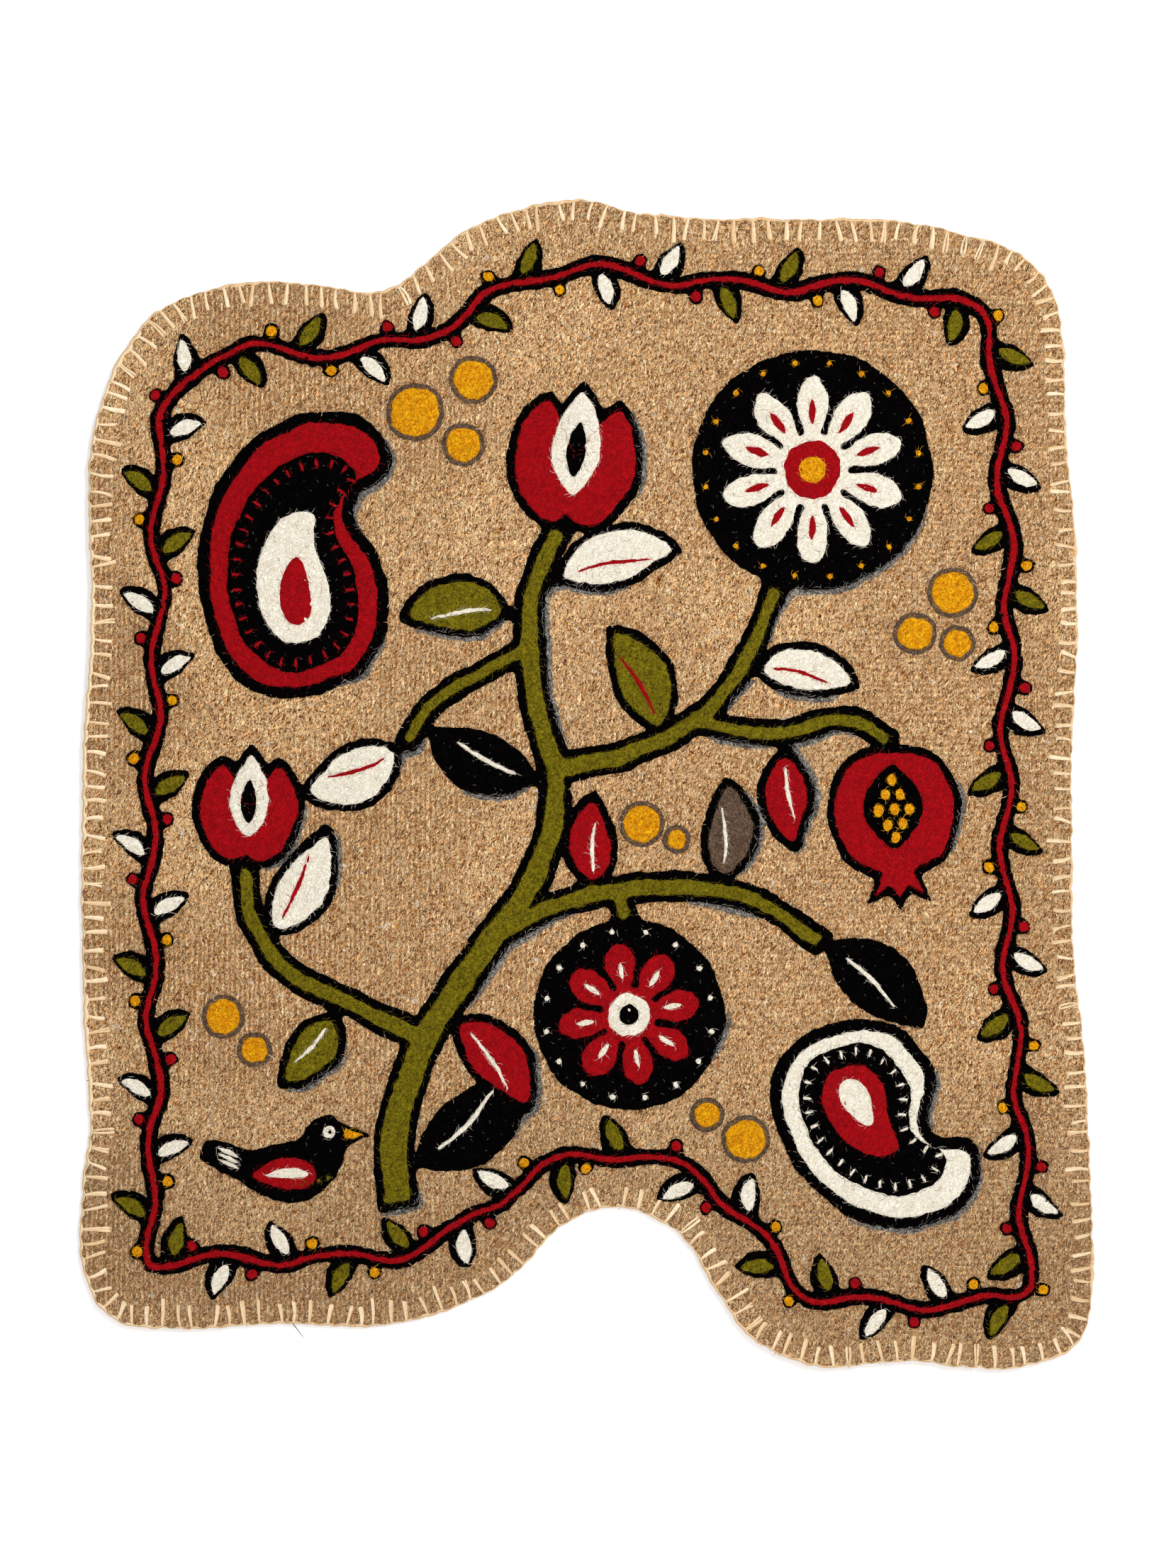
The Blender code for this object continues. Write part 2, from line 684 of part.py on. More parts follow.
def main():
    clear_scene()
    ground = felt_ground()
    add_border(ground)
    add_tree(ground)
    add_leaves(ground)
    add_rosettes(ground)
    add_tulips(ground)
    add_paisleys(ground)
    add_pomegranate(ground)
    add_bird(ground)
    add_dots(ground)


main()
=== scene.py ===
"""Needle felted wall hanging: its look, its light and its camera.

A panel of coarse, heathered felt hangs on a wall. Dyed wool is felted on to its face, and a blanket
stitch of pale straw-like yarn runs round its edge. The face looks along -Y, and the back lies on Y = 0.
Lengths are millimetres and angles are degrees, anticlockwise as seen from the front, until a mesh is made.
"""

import math
from collections import Counter, namedtuple

import bpy
import numpy as np
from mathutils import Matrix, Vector
from mathutils.bvhtree import BVHTree
from mathutils.geometry import delaunay_2d_cdt
from mathutils.kdtree import KDTree


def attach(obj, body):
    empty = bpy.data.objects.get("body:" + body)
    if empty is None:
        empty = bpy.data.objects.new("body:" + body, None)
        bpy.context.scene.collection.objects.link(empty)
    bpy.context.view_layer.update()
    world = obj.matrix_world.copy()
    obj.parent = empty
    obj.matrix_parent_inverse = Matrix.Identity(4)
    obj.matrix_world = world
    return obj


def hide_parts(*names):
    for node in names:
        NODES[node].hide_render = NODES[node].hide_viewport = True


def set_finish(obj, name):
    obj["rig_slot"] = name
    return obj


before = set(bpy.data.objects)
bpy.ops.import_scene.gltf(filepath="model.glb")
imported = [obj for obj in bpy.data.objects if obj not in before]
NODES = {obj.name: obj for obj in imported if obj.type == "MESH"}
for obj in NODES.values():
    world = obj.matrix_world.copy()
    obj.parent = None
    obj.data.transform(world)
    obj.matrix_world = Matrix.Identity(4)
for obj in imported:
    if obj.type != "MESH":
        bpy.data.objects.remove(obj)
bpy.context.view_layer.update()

MM = 0.001
SEED = 20
# Points nearer than JOIN_REACH are one point, and CAD outlines smaller than LEAST_AREA are slivers
JOIN_REACH = 1e-5
LEAST_AREA = 12.0
# Below this cosine of the turn at a point, an outline's corner stays sharp
SHARP_CORNER = 0.55
# How far in front of the panel the rays start that feel for its surface
FRONT = -60.0

# The felt panel
FELT_THICKNESS = 4.0
LIFTED_MARGIN = 18.0
LEAST_LIFT = 0.4

# The blanket stitch: how many, how far in they reach, shorter down the right side, and how much they draw in
STITCHES = 250
STITCH_REACH = 17.0
RIGHT_REACH = 0.86
STITCH_PULL = 0.55

# The cut edge of the CAD's felt, clockwise from the top. The vine follows it.
CAD_EDGE = [
    (-10, 0), (45, -7), (110, -15), (185, -15), (252, -17), (303, -28), (344, -46), (371, -82),
    (380, -130), (382, -200), (389, -275), (390, -350), (386, -430), (386, -530), (388, -610), (396, -680),
    (400, -770), (402, -858), (391, -908), (345, -927), (270, -930), (185, -927), (134, -906), (104, -866),
    (75, -822), (26, -800), (-19, -815), (-62, -858), (-110, -882), (-165, -895), (-245, -893), (-335, -897),
    (-381, -885), (-400, -845), (-400, -790), (-394, -735), (-398, -650), (-400, -550), (-398, -430),
    (-392, -330), (-394, -215), (-382, -145), (-348, -92), (-300, -69), (-240, -65), (-180, -73), (-133, -55),
    (-83, -18),
]

# Where the felt's own cut edge runs a little further in or out: each point and what takes its place
TRIMMED = {
    (45, -7): [(45, -11)],
    (344, -46): [(346, -43)],
    (371, -82): [(373, -78)],
    (270, -930): [(305, -928), (264, -922), (225, -925)],
    (-382, -145): [(-381, -150)],
    (-348, -92): [(-346, -94)],
    (-300, -69): [(-300, -72)],
    (-180, -73): [(-180, -73), (-156, -71)],
}
CUT_EDGE = [place for point in CAD_EDGE for place in TRIMMED.get(point, [point])]

# How the felt's margin lifts off the wall: waves round the edge, their height and where they start
MARGIN_LIFTS = [(2, 1.5, 200), (5, 1.1, 60), (11, 0.7, 130)]

# The vine that runs round the panel
VINE_INSET = 52.0
VINE_WAVE = 96.0
VINE_SWING = 5.0
VINE_CORE = 5.4
# Its leaves: length, width, bend, lean off the vine, and how much of the black wool the coloured wool covers.
# Its berries: radius and how far off the vine's middle
VINE_LEAF = (36, 15, 26, 48, 0.8)
VINE_BERRY = (4.6, 11)

# Leaves of the tree, with the wool of their veins
Leaf = namedtuple("Leaf", "x z angle length bend vein")
LEAVES = [
    Leaf(-52, -330, 78, 78, -34, "white"),
    Leaf(-30, -306, -62, 92, 34, "red"),
    Leaf(-32, -462, 78, 84, 30, "white"),
    Leaf(-142, -768, -64, 100, -36, "white"),
    Leaf(-112, -648, -126, 84, 34, "white"),
    Leaf(-196, -640, 152, 62, 26, "white"),
    Leaf(-258, -590, -40, 86, -28, "red"),
    Leaf(60, -432, 12, 84, -34, "red"),
    Leaf(126, -372, -88, 74, 30, "red"),
    Leaf(160, -428, 176, 70, -24, "white"),
    Leaf(10, -556, 12, 66, 24, "white"),
    Leaf(104, -550, -16, 72, -30, "white"),
    Leaf(-142, -430, 128, 76, 34, "red"),
    Leaf(186, -590, -120, 88, 26, "white"),
]
LEAF_STALK = 14.0

Rosette = namedtuple("Rosette", "x z radius disc petals turn bead mark heart")
ROSETTES = [
    Rosette(180, -214, 76, 96, 10, 0, "ochre", "red", "ochre"),
    Rosette(34, -648, 58, 76, 8, 10, "white", "white", "black"),
]

Tulip = namedtuple("Tulip", "x z angle size")
TULIPS = [Tulip(-16, -256, -8, 100), Tulip(-271, -525, -3, 80)]

Paisley = namedtuple("Paisley", "x z angle length width side thread")
PAISLEYS = [
    Paisley(-214, -384, 16, 226, 132, 1, "red"),
    Paisley(198, -664, 196, 172, 116, -1, "white"),
]

POMEGRANATE = (245, -486, 184, 48)
SEED_ROWS = [(-0.52, 1), (-0.28, 2), (-0.03, 3), (0.22, 2), (0.44, 1)]

BIRD = (-235, -774, 0.71)

# The wool of each CAD node, by the start or the end of its name
WOOL_OF = [
    ("border_vine", "black"), ("tree_black", "black"), ("tree_stems", "olive"), ("_olive", "olive"),
    ("_white", "white"), ("_red", "red"), ("_brown", "brown"), ("sun_flower_petals", "white"),
    ("sun_flower_eye", "red"), ("low_flower_petals", "red"), ("low_flower_eye", "white"),
    ("tulip_petals", "red"), ("tulip_heart", "white"), ("paisley_black", "black"),
    ("great_paisley_rim", "red"), ("great_paisley_body", "black"), ("great_paisley_core", "white"),
    ("low_paisley_rim", "white"), ("low_paisley_body", "black"), ("low_paisley_core", "red"),
    ("pomegranate_skin", "red"), ("pomegranate_window", "black"), ("bird_body", "black"),
    ("bird_wing", "red"), ("ochre_dot", "ochre"),
]

# Heights of the CAD's layers of wool above its felt, and of the same layers here, pressed in by the needles
CAD_LAYERS = [5.3, 6.6, 7.9, 9.2]
PLATEAUS = [1.1, 1.8, 2.4, 3.0]
EDGE_ROUNDING = 2.4
SMALL_ROUNDING = 1.35
SMALL_RISE = 0.6
HALO_RISE = 0.4
DOT_HALO = 3.5
# How far the rim of a piece of wool is sunk in what lies below it, and how far its closed underside is
RIM_SINK = 0.2
FOOT_SINK = 0.7

# How far apart the points are on the felt's face and back, on a motif and on a small detail
FACE_SPACING = 4.3
BACK_SPACING = 16.0
WOOL_SPACING = 3.8
SMALL_SPACING = 2.0


# Flat outlines

def turned(points, angle=0.0, at=(0.0, 0.0)):
    """The points turned by an angle, then moved to a place."""
    cos, sin = math.cos(math.radians(angle)), math.sin(math.radians(angle))
    return [(x * cos - z * sin + at[0], x * sin + z * cos + at[1]) for x, z in points]


def smooth_line(points, step, closed=False):
    """A Catmull-Rom curve through the points, with a point about every step."""
    count = len(points)

    def pick(i):
        return points[i % count] if closed else points[min(max(i, 0), count - 1)]

    line = []
    for i in range(count if closed else count - 1):
        a, b, c, d = (pick(i + k) for k in (-1, 0, 1, 2))
        steps = max(1, round(math.dist(b, c) / step))
        for k in range(steps):
            t = k / steps
            line.append(tuple(
                0.5 * (2 * b[n] + (c[n] - a[n]) * t + (2 * a[n] - 5 * b[n] + 4 * c[n] - d[n]) * t * t
                       + (3 * b[n] - a[n] - 3 * c[n] + d[n]) * t ** 3)
                for n in (0, 1)
            ))
    if not closed:
        line.append(tuple(points[-1]))
    return line


def even_line(line, step, closed=False):
    """The line again, with its points evenly spaced."""
    whole = line + line[:1] if closed else line
    run = [0.0]
    for a, b in zip(whole, whole[1:]):
        run.append(run[-1] + math.dist(a, b))
    count = max(3 if closed else 2, round(run[-1] / step))
    made = []
    k = 0
    for i in range(count if closed else count + 1):
        want = run[-1] * i / count
        while k < len(run) - 2 and run[k + 1] < want:
            k += 1
        t = (want - run[k]) / ((run[k + 1] - run[k]) or 1.0)
        made.append(tuple(whole[k][n] + (whole[k + 1][n] - whole[k][n]) * t for n in (0, 1)))
    return made


def across(line, i, closed=False):
    """The unit vector to the left of a line at its point i."""
    count = len(line)
    a = line[(i - 1) % count] if closed else line[max(i - 1, 0)]
    b = line[(i + 1) % count] if closed else line[min(i + 1, count - 1)]
    size = math.dist(a, b) or 1.0
    return -(b[1] - a[1]) / size, (b[0] - a[0]) / size


def area_of(outline):
    """The area inside a closed outline, negative where it runs clockwise."""
    pairs = zip(outline[-1:] + outline, outline)
    return sum(ax * bz - bx * az for (ax, az), (bx, bz) in pairs) / 2


def turning(outline):
    """1 where a closed outline runs anticlockwise, and -1 where it runs clockwise."""
    return math.copysign(1.0, area_of(outline))


def grown(outline, distance):
    """A closed outline grown by a distance, or shrunk by a negative one."""
    count = len(outline)
    side = turning(outline)
    made = []
    for i, (x, z) in enumerate(outline):
        before, after = outline[i - 1], outline[(i + 1) % count]
        first, second = math.dist(before, (x, z)), math.dist((x, z), after)
        nx = ((z - before[1]) / first + (after[1] - z) / second) * side
        nz = -((x - before[0]) / first + (after[0] - x) / second) * side
        size = math.hypot(nx, nz)
        reach = min(1.5, 2 / size) * distance
        made.append((x + nx / size * reach, z + nz / size * reach))
    return made


def eased(outline, reach, rounds):
    """A closed outline whose points are averaged with their neighbours."""
    count = len(outline)
    share = 2 * reach + 1
    for _ in range(rounds):
        outline = [
            tuple(sum(outline[(i + k) % count][n] for k in range(-reach, reach + 1)) / share for n in (0, 1))
            for i in range(count)
        ]
    return outline


def ribbon(line, widths):
    """The outline of a stroke along a line. Its widths are spread evenly from its start to its end."""
    left, right = [], []
    for i, (x, z) in enumerate(line):
        nx, nz = across(line, i)
        half = np.interp(i / (len(line) - 1), np.linspace(0, 1, len(widths)), widths) / 2
        left.append((x + nx * half, z + nz * half))
        right.append((x - nx * half, z - nz * half))
    return left + right[::-1]


def blade(length, width, bend=0.0, belly=0.45, fullness=0.8, hook=1.0, steps=12):
    """A leaf, petal or paisley drop whose midrib runs up from the origin and bends by an angle in all."""
    power = math.log(0.5) / math.log(belly)

    def share(i):
        return (1 - math.cos(math.pi * i / steps)) / 2

    x = z = 0.0
    left, right = [], []
    for i in range(steps + 1):
        t = share(i)
        heading = math.radians(bend) * t ** hook
        half = width / 2 * max(0.0, math.sin(math.pi * t ** power)) ** fullness
        left.append((x - math.cos(heading) * half, z + math.sin(heading) * half))
        right.append((x + math.cos(heading) * half, z - math.sin(heading) * half))
        run = length * (share(i + 1) - t)
        x += math.sin(heading) * run
        z += math.cos(heading) * run
    return left + right[1:-1][::-1]


def disc(radius, at=(0.0, 0.0), steps=14, squash=1.0):
    """A round or an oval outline."""
    flat = [(radius * math.cos(2 * math.pi * i / steps), radius * squash * math.sin(2 * math.pi * i / steps))
            for i in range(steps)]
    return [(x + at[0], z + at[1]) for x, z in flat]


# Lumps are waves that add up, each of them this share of the lumps' height
WAVES = 10
WAVE_SHARE = 0.45


def lumps(seed, wave, height):
    """Soft lumps of about one size: a function of x and z that adds up waves from many directions."""
    draw = np.random.default_rng(seed)
    angle, start = draw.uniform(0, 2 * math.pi, WAVES), draw.uniform(0, 2 * math.pi, WAVES)
    pitch = 2 * math.pi / (wave * draw.uniform(0.7, 1.5, WAVES))

    def height_at(x, z):
        along = np.multiply.outer(x, np.cos(angle) * pitch) + np.multiply.outer(z, np.sin(angle) * pitch)
        return height * WAVE_SHARE * np.sin(along + start).sum(axis=-1)

    return height_at


WOBBLE = (lumps(1, 34, 0.55), lumps(2, 34, 0.55), lumps(3, 9, 0.3), lumps(4, 9, 0.3))


def by_hand(outline, step=2.4, unsteady=1.0):
    """An outline laid by hand in wool: evenly spaced points, eased corners and a slight wobble."""
    line = eased(even_line(outline, step, closed=True), 1, 2)
    x, z = np.array(line).T
    dx = (WOBBLE[0](x, z) + WOBBLE[2](x, z)) * unsteady
    dz = (WOBBLE[1](x, z) + WOBBLE[3](x, z)) * unsteady
    return list(zip((x + dx).tolist(), (z + dz).tolist()))


def rounded(loop, step):
    """A coarse outline with its facets rounded, by a centripetal curve that keeps its sharp corners."""
    count = len(loop)
    points = [np.array(p) for p in loop]
    made = []
    for i in range(count):
        a, b, c, d = (points[(i + k) % count] for k in (-1, 0, 1, 2))
        if np.dot(b - a, c - b) < SHARP_CORNER * np.linalg.norm(b - a) * np.linalg.norm(c - b):
            a = 2 * b - c
        if np.dot(c - b, d - c) < SHARP_CORNER * np.linalg.norm(c - b) * np.linalg.norm(d - c):
            d = 2 * c - b
        spans = [max(np.linalg.norm(q - p), 1e-6) ** 0.5 for p, q in ((a, b), (b, c), (c, d))]
        knots = np.cumsum([0.0] + spans)
        steps = max(1, round(float(np.linalg.norm(c - b)) / step))
        for t in np.linspace(knots[1], knots[2], steps, endpoint=False):
            def between(p, q, start, end):
                return (p * (end - t) + q * (t - start)) / (end - start)

            ab, bc, cd = (between(p, q, knots[n], knots[n + 1])
                          for n, (p, q) in enumerate(((a, b), (b, c), (c, d))))
            abc, bcd = between(ab, bc, knots[0], knots[2]), between(bc, cd, knots[1], knots[3])
            made.append(tuple(float(v) for v in between(abc, bcd, knots[1], knots[2])))
    return made


def node_loops(node):
    """The outlines of a CAD node's face, in millimetres: the outer ones and those of its holes."""
    mesh = node.data
    places = [(round(v.co.x / MM, 2), round(v.co.z / MM, 2)) for v in mesh.vertices]
    edges = Counter()
    for face in mesh.polygons:
        if face.normal.y < -0.9:
            corners = [places[i] for i in face.vertices]
            edges.update(zip(corners, corners[1:] + corners[:1]))
    follow = {}
    for a, b in sorted(edges):
        if a != b and edges[a, b] > edges[b, a]:
            follow.setdefault(a, []).append(b)
    loops = []
    while follow:
        start = min(follow)
        loop = [start]
        while True:
            nexts = follow[loop[-1]]
            step = nexts.pop()
            if not nexts:
                del follow[loop[-1]]
            if step == start:
                break
            loop.append(step)
        if abs(area_of(loop)) > LEAST_AREA:
            loops.append(loop)
    return loops


# Meshes

def add_mesh(name, places, faces, material, **painted):
    """A mesh object from places in millimetres (x, y, z). painted holds values for its points, by name."""
    places = np.asarray(places, dtype=float)
    used = np.zeros(len(places), dtype=bool)
    used[np.concatenate([np.asarray(face) for face in faces])] = True
    number = np.cumsum(used) - 1
    data = bpy.data.meshes.new(name)
    data.from_pydata((places[used] * MM).tolist(), [], [number[list(face)].tolist() for face in faces])
    data.materials.append(material)
    data.polygons.foreach_set("use_smooth", [True] * len(data.polygons))
    for label, values in painted.items():
        attribute = data.attributes.new(label, "FLOAT", "POINT")
        attribute.data.foreach_set("value", np.asarray(values)[used].tolist())
    data.update()
    obj = bpy.data.objects.new(name, data)
    bpy.context.scene.collection.objects.link(obj)
    return obj


def nearest(points):
    """A finder of the nearest of some flat points: their numbers and distances for the asked places."""
    tree = KDTree(len(points))
    for i, (x, z) in enumerate(points):
        tree.insert((x, z, 0.0), i)
    tree.balance()

    def find(places):
        found = [tree.find((x, z, 0.0))[1:] for x, z in places]
        return np.array([f[0] for f in found], dtype=int), np.array([f[1] for f in found])

    return find


def scattered(low, high, spacing, seed, jitter=0.3):
    """Places in a box, in rows that are a little out of line."""
    draw = np.random.default_rng(seed)
    x, z = np.meshgrid(np.arange(low[0], high[0], spacing), np.arange(low[1], high[1], spacing * 0.87))
    x = x + (np.arange(len(z)) % 2)[:, None] * spacing / 2 + draw.uniform(-jitter, jitter, x.shape) * spacing
    z = z + draw.uniform(-jitter, jitter, z.shape) * spacing
    return np.column_stack([x.ravel(), z.ravel()])


def filled(loops, inner):
    """Triangles over the area to the left of the loops, with inner places in it.

    Points keep their numbers, and any that the triangulation adds come last.
    """
    points = [p for loop in loops for p in loop] + [tuple(p) for p in inner]
    edges = []
    for loop in loops:
        first = len(edges)
        edges.extend((first + i, first + (i + 1) % len(loop)) for i in range(len(loop)))
    places, _, triangles, sources, _, _ = delaunay_2d_cdt([Vector(p) for p in points], edges, [], 1,
                                                      JOIN_REACH)
    number = []
    for place, source in zip(places, sources):
        number.append(min(source) if source else len(points))
        if not source:
            points.append((place.x, place.y))
    faces = [tuple(number[k] for k in triangle) for triangle in triangles]
    beside = {}
    for n, (a, b, c) in enumerate(faces):
        beside.update({(a, b): n, (b, c): n, (c, a): n})
    walls = set(edges)
    inside = {beside[edge] for edge in edges if edge in beside}
    ahead = sorted(inside)
    while ahead:
        a, b, c = faces[ahead.pop()]
        for edge in ((a, b), (b, c), (c, a)):
            across_it = beside.get(edge[::-1])
            if edge not in walls and across_it is not None and across_it not in inside:
                inside.add(across_it)
                ahead.append(across_it)
    return points, [faces[n] for n in sorted(inside)]


CUT_LINE = even_line(smooth_line(CUT_EDGE, 3, closed=True), 3.0, closed=True)
near_cut = nearest(CUT_LINE)
FELT_LUMPS = [lumps(11, 150, 0.5), lumps(12, 30, 0.16), lumps(13, 7, 0.09)]
WOOL_LUMPS = [lumps(14, 11, 0.10), lumps(15, 4.5, 0.07)]


def margin_lift(share, depth):
    """How far the back stands off the wall, a share of the way round the edge and a depth inside it."""
    lift = LEAST_LIFT + sum(height for _, height, _ in MARGIN_LIFTS)
    for waves, height, start in MARGIN_LIFTS:
        lift = lift + height * np.sin(2 * math.pi * waves * share + math.radians(start))
    return lift * (1 - np.minimum(depth, LIFTED_MARGIN) / LIFTED_MARGIN) ** 2


def felt_lumps(x, z):
    """How much the felt's face swells or sinks at a place."""
    return sum(part(x, z) for part in FELT_LUMPS)


# The rim of the felt from its back round to its face: how far inside the cut edge, and how high
RIM = [(14, 0.0), (6, 0.0), (3, 0.15), (1.1, 0.5), (0.25, 1.1), (0.0, 1.9), (0.2, 2.7), (1.0, 3.4),
       (2.6, 3.85), (5.0, 4.0), (8.0, 4.0)]


def felt_panel():
    """The felt: a lumpy face, a soft rim that each stitch draws in a little, and a plain back."""
    count = len(CUT_LINE)
    share = np.arange(count) / count
    x, z = np.array(CUT_LINE).T
    outward = np.array([across(CUT_LINE, i, closed=True) for i in range(count)])
    drawn_in = STITCH_PULL * np.cos(2 * math.pi * STITCHES * share) + lumps(5, 26, 0.4)(x, z)
    rings = []
    for depth, height in RIM:
        sunk = -depth - drawn_in * math.exp(-depth / 5)
        ring_x, ring_z = x + outward[:, 0] * sunk, z + outward[:, 1] * sunk
        out = height + margin_lift(share, depth) + (felt_lumps(ring_x, ring_z) if height > 2 else 0)
        rings.append(np.column_stack([ring_x, -out, ring_z]))
    places = [place for ring in rings for place in ring]
    faces = []
    for k in range(len(RIM) - 1):
        for i in range(count):
            n = (i + 1) % count
            faces.append((k * count + i, (k + 1) * count + i, (k + 1) * count + n, k * count + n))
    for k, spacing, front in ((len(RIM) - 1, FACE_SPACING, True), (0, BACK_SPACING, False)):
        loop = [(place[0], place[2]) for place in rings[k]]
        inner = scattered((-405, -935), (405, 5), spacing, SEED + k)
        index, depth = near_cut(inner)
        clear = depth > RIM[k][0] + 0.6 * spacing
        inner, index, depth = inner[clear], index[clear], depth[clear]
        _, triangles = filled([loop[::-1]], inner)
        out = margin_lift(index / count, depth)
        if front:
            out = out + FELT_THICKNESS + felt_lumps(inner[:, 0], inner[:, 1])
        new = len(places) - count
        places.extend(zip(inner[:, 0], -out, inner[:, 1]))
        for triangle in triangles:
            corners = tuple(k * count + count - 1 - n if n < count else new + n for n in triangle)
            faces.append(corners if front else corners[::-1])
    _, depth = near_cut([(place[0], place[2]) for place in places])
    return add_mesh("felt_panel", places, faces, MATERIALS["felt"], depth=depth)


def uncrossed(loops):
    """The loops, eased where one crosses itself, and the triangles between their points alone."""
    for _ in range(8):
        points, faces = filled(loops, [])
        if len(points) == sum(len(loop) for loop in loops):
            break
        loops = [eased(loop, 1, 2) for loop in loops]
    return loops, faces


def pillow(loops, base, rise, spacing, rounding):
    """Wool needled on: places and faces of a low pillow inside the loops, closed below.

    Outer loops run anticlockwise and those of holes run clockwise.
    """
    loops, under = uncrossed(loops)
    rim = [p for loop in loops for p in loop]
    find = nearest(rim)
    inner = scattered(np.min(rim, axis=0), np.max(rim, axis=0), spacing, SEED + len(rim))
    inner = inner[find(inner)[1] > rounding * 0.95]
    for inset in (0.35, 0.75):
        for loop in loops:
            ring = np.array(grown(loop, -inset * rounding * turning(loop)))
            inner = np.vstack([inner, ring[find(ring)[1] > inset * rounding * 0.8]])
    flat, faces = filled(loops, inner)
    x, z = np.array(flat).T
    share = np.clip(find(flat)[1] / rounding, 0, 1)
    out = FELT_THICKNESS + felt_lumps(x, z) + base - RIM_SINK
    out = out + (rise + RIM_SINK) * np.sqrt(1 - (1 - share) ** 2)
    out = out + share * sum(part(x, z) for part in WOOL_LUMPS)
    new = len(flat)
    top = np.column_stack([x, -out, z])
    x, z = np.array(rim).T
    low = FELT_THICKNESS + base - FOOT_SINK + felt_lumps(x, z)
    places = np.vstack([top, np.column_stack([x, -low, z])])
    faces = list(faces) + [tuple(new + k for k in face[::-1]) for face in under]
    first = 0
    for loop in loops:
        for i in range(len(loop)):
            a, b = first + i, first + (i + 1) % len(loop)
            faces.append((b, a, new + a, new + b))
        first += len(loop)
    return places, faces


def joined(parts):
    """Several lots of places and faces as one."""
    places, faces = [], []
    for some, their_faces in parts:
        first = sum(len(lot) for lot in places)
        places.append(some)
        faces.extend(tuple(first + k for k in face) for face in their_faces)
    return np.vstack(places), faces


def anticlockwise(outline):
    """The outline run anticlockwise."""
    return outline if turning(outline) > 0 else outline[::-1]


# The motifs

# The outlines laid so far, each with its wool and its layer: fuzz and grey strands follow them
OUTLINES = []


def wool_of(name):
    """The wool of a CAD node, from its name."""
    for part, wool in WOOL_OF:
        if part in name:
            return wool
    raise KeyError(name)


def motif(name):
    """The wool that stands for one CAD node, laid inside that node's outline."""
    node = NODES[name]
    wool = wool_of(name)
    front = -min(v.co.y for v in node.data.vertices) / MM
    layer = min(range(4), key=lambda k: abs(CAD_LAYERS[k] - front))
    loops = [by_hand(rounded(loop, 2.0)) for loop in node_loops(node)]
    under = 0.0 if layer == 0 else PLATEAUS[layer - 1]
    if wool == "ochre":
        loops = [grown(loop, -DOT_HALO) for loop in loops]
        under = HALO_RISE
    places, faces = pillow(loops, under, PLATEAUS[layer] + 0.3 - under, WOOL_SPACING, EDGE_ROUNDING)
    OUTLINES.extend((wool, layer, loop) for loop in loops)
    obj = add_mesh(f"{name}_wool", places, faces, MATERIALS[wool])
    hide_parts(name)
    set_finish(obj, wool)
    return obj


Detail = namedtuple("Detail", "wool layer outline")


def vine_line():
    """The middle of the vine, which swings from side to side between its leaves."""
    line = even_line(eased(grown(smooth_line(CAD_EDGE, 10, closed=True), -VINE_INSET), 3, 2), VINE_WAVE / 6,
                     closed=True)
    leaves = 2 * round(len(line) / 6)
    swung = []
    for i, (x, z) in enumerate(line):
        nx, nz = across(line, i, closed=True)
        swing = VINE_SWING * math.sin(math.pi * i * leaves / len(line))
        swung.append((x + nx * swing, z + nz * swing))
    return swung, leaves


def vine_details():
    """The coloured leaves and the berries that lie on the black vine."""
    swung, leaves = vine_line()
    count = len(swung)
    length, width, bend, lean, cover = VINE_LEAF
    radius, off = VINE_BERRY
    details = []
    for k in range(leaves):
        i = round((k + 0.5) * count / leaves)
        side = 1 if k % 2 else -1
        nx, nz = across(swung, i % count, closed=True)
        heading = math.degrees(math.atan2(-nx, nz)) - 90
        flat = blade(length, width, -bend * side)
        tip = flat[len(flat) // 2]
        leaf = [(tip[0] + cover * (x - tip[0]), tip[1] + cover * (z - tip[1])) for x, z in flat]
        wool = "white" if k % 4 < 2 else "olive"
        details.append(Detail(wool, 1, turned(leaf, heading + lean * side, swung[(i - 1) % count])))
        x, z = swung[(i + 1) % count]
        details.append(Detail("red" if k % 4 < 2 else "ochre", 1,
                              disc(radius, (x - nx * side * off, z - nz * side * off))))
    return details


def vine_core():
    """The red wool that runs along the middle of the black vine."""
    line = even_line(smooth_line(vine_line()[0], 2, closed=True), 2.2, closed=True)
    sides = []
    for way in (1, -1):
        side = []
        for i, (x, z) in enumerate(line):
            nx, nz = across(line, i, closed=True)
            side.append((x + way * nx * VINE_CORE / 2, z + way * nz * VINE_CORE / 2))
        sides.append(by_hand(side, 2.6, 0.8))
    outer, inner = sorted(sides, key=lambda side: -abs(area_of(side)))
    loops = [anticlockwise(outer), anticlockwise(inner)[::-1]]
    OUTLINES.extend(("red", 1, loop) for loop in loops)
    places, faces = pillow(loops, PLATEAUS[0], SMALL_RISE, 2.2, 2.0)
    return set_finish(add_mesh("vine_core_red", places, faces, MATERIALS["red"]), "red")


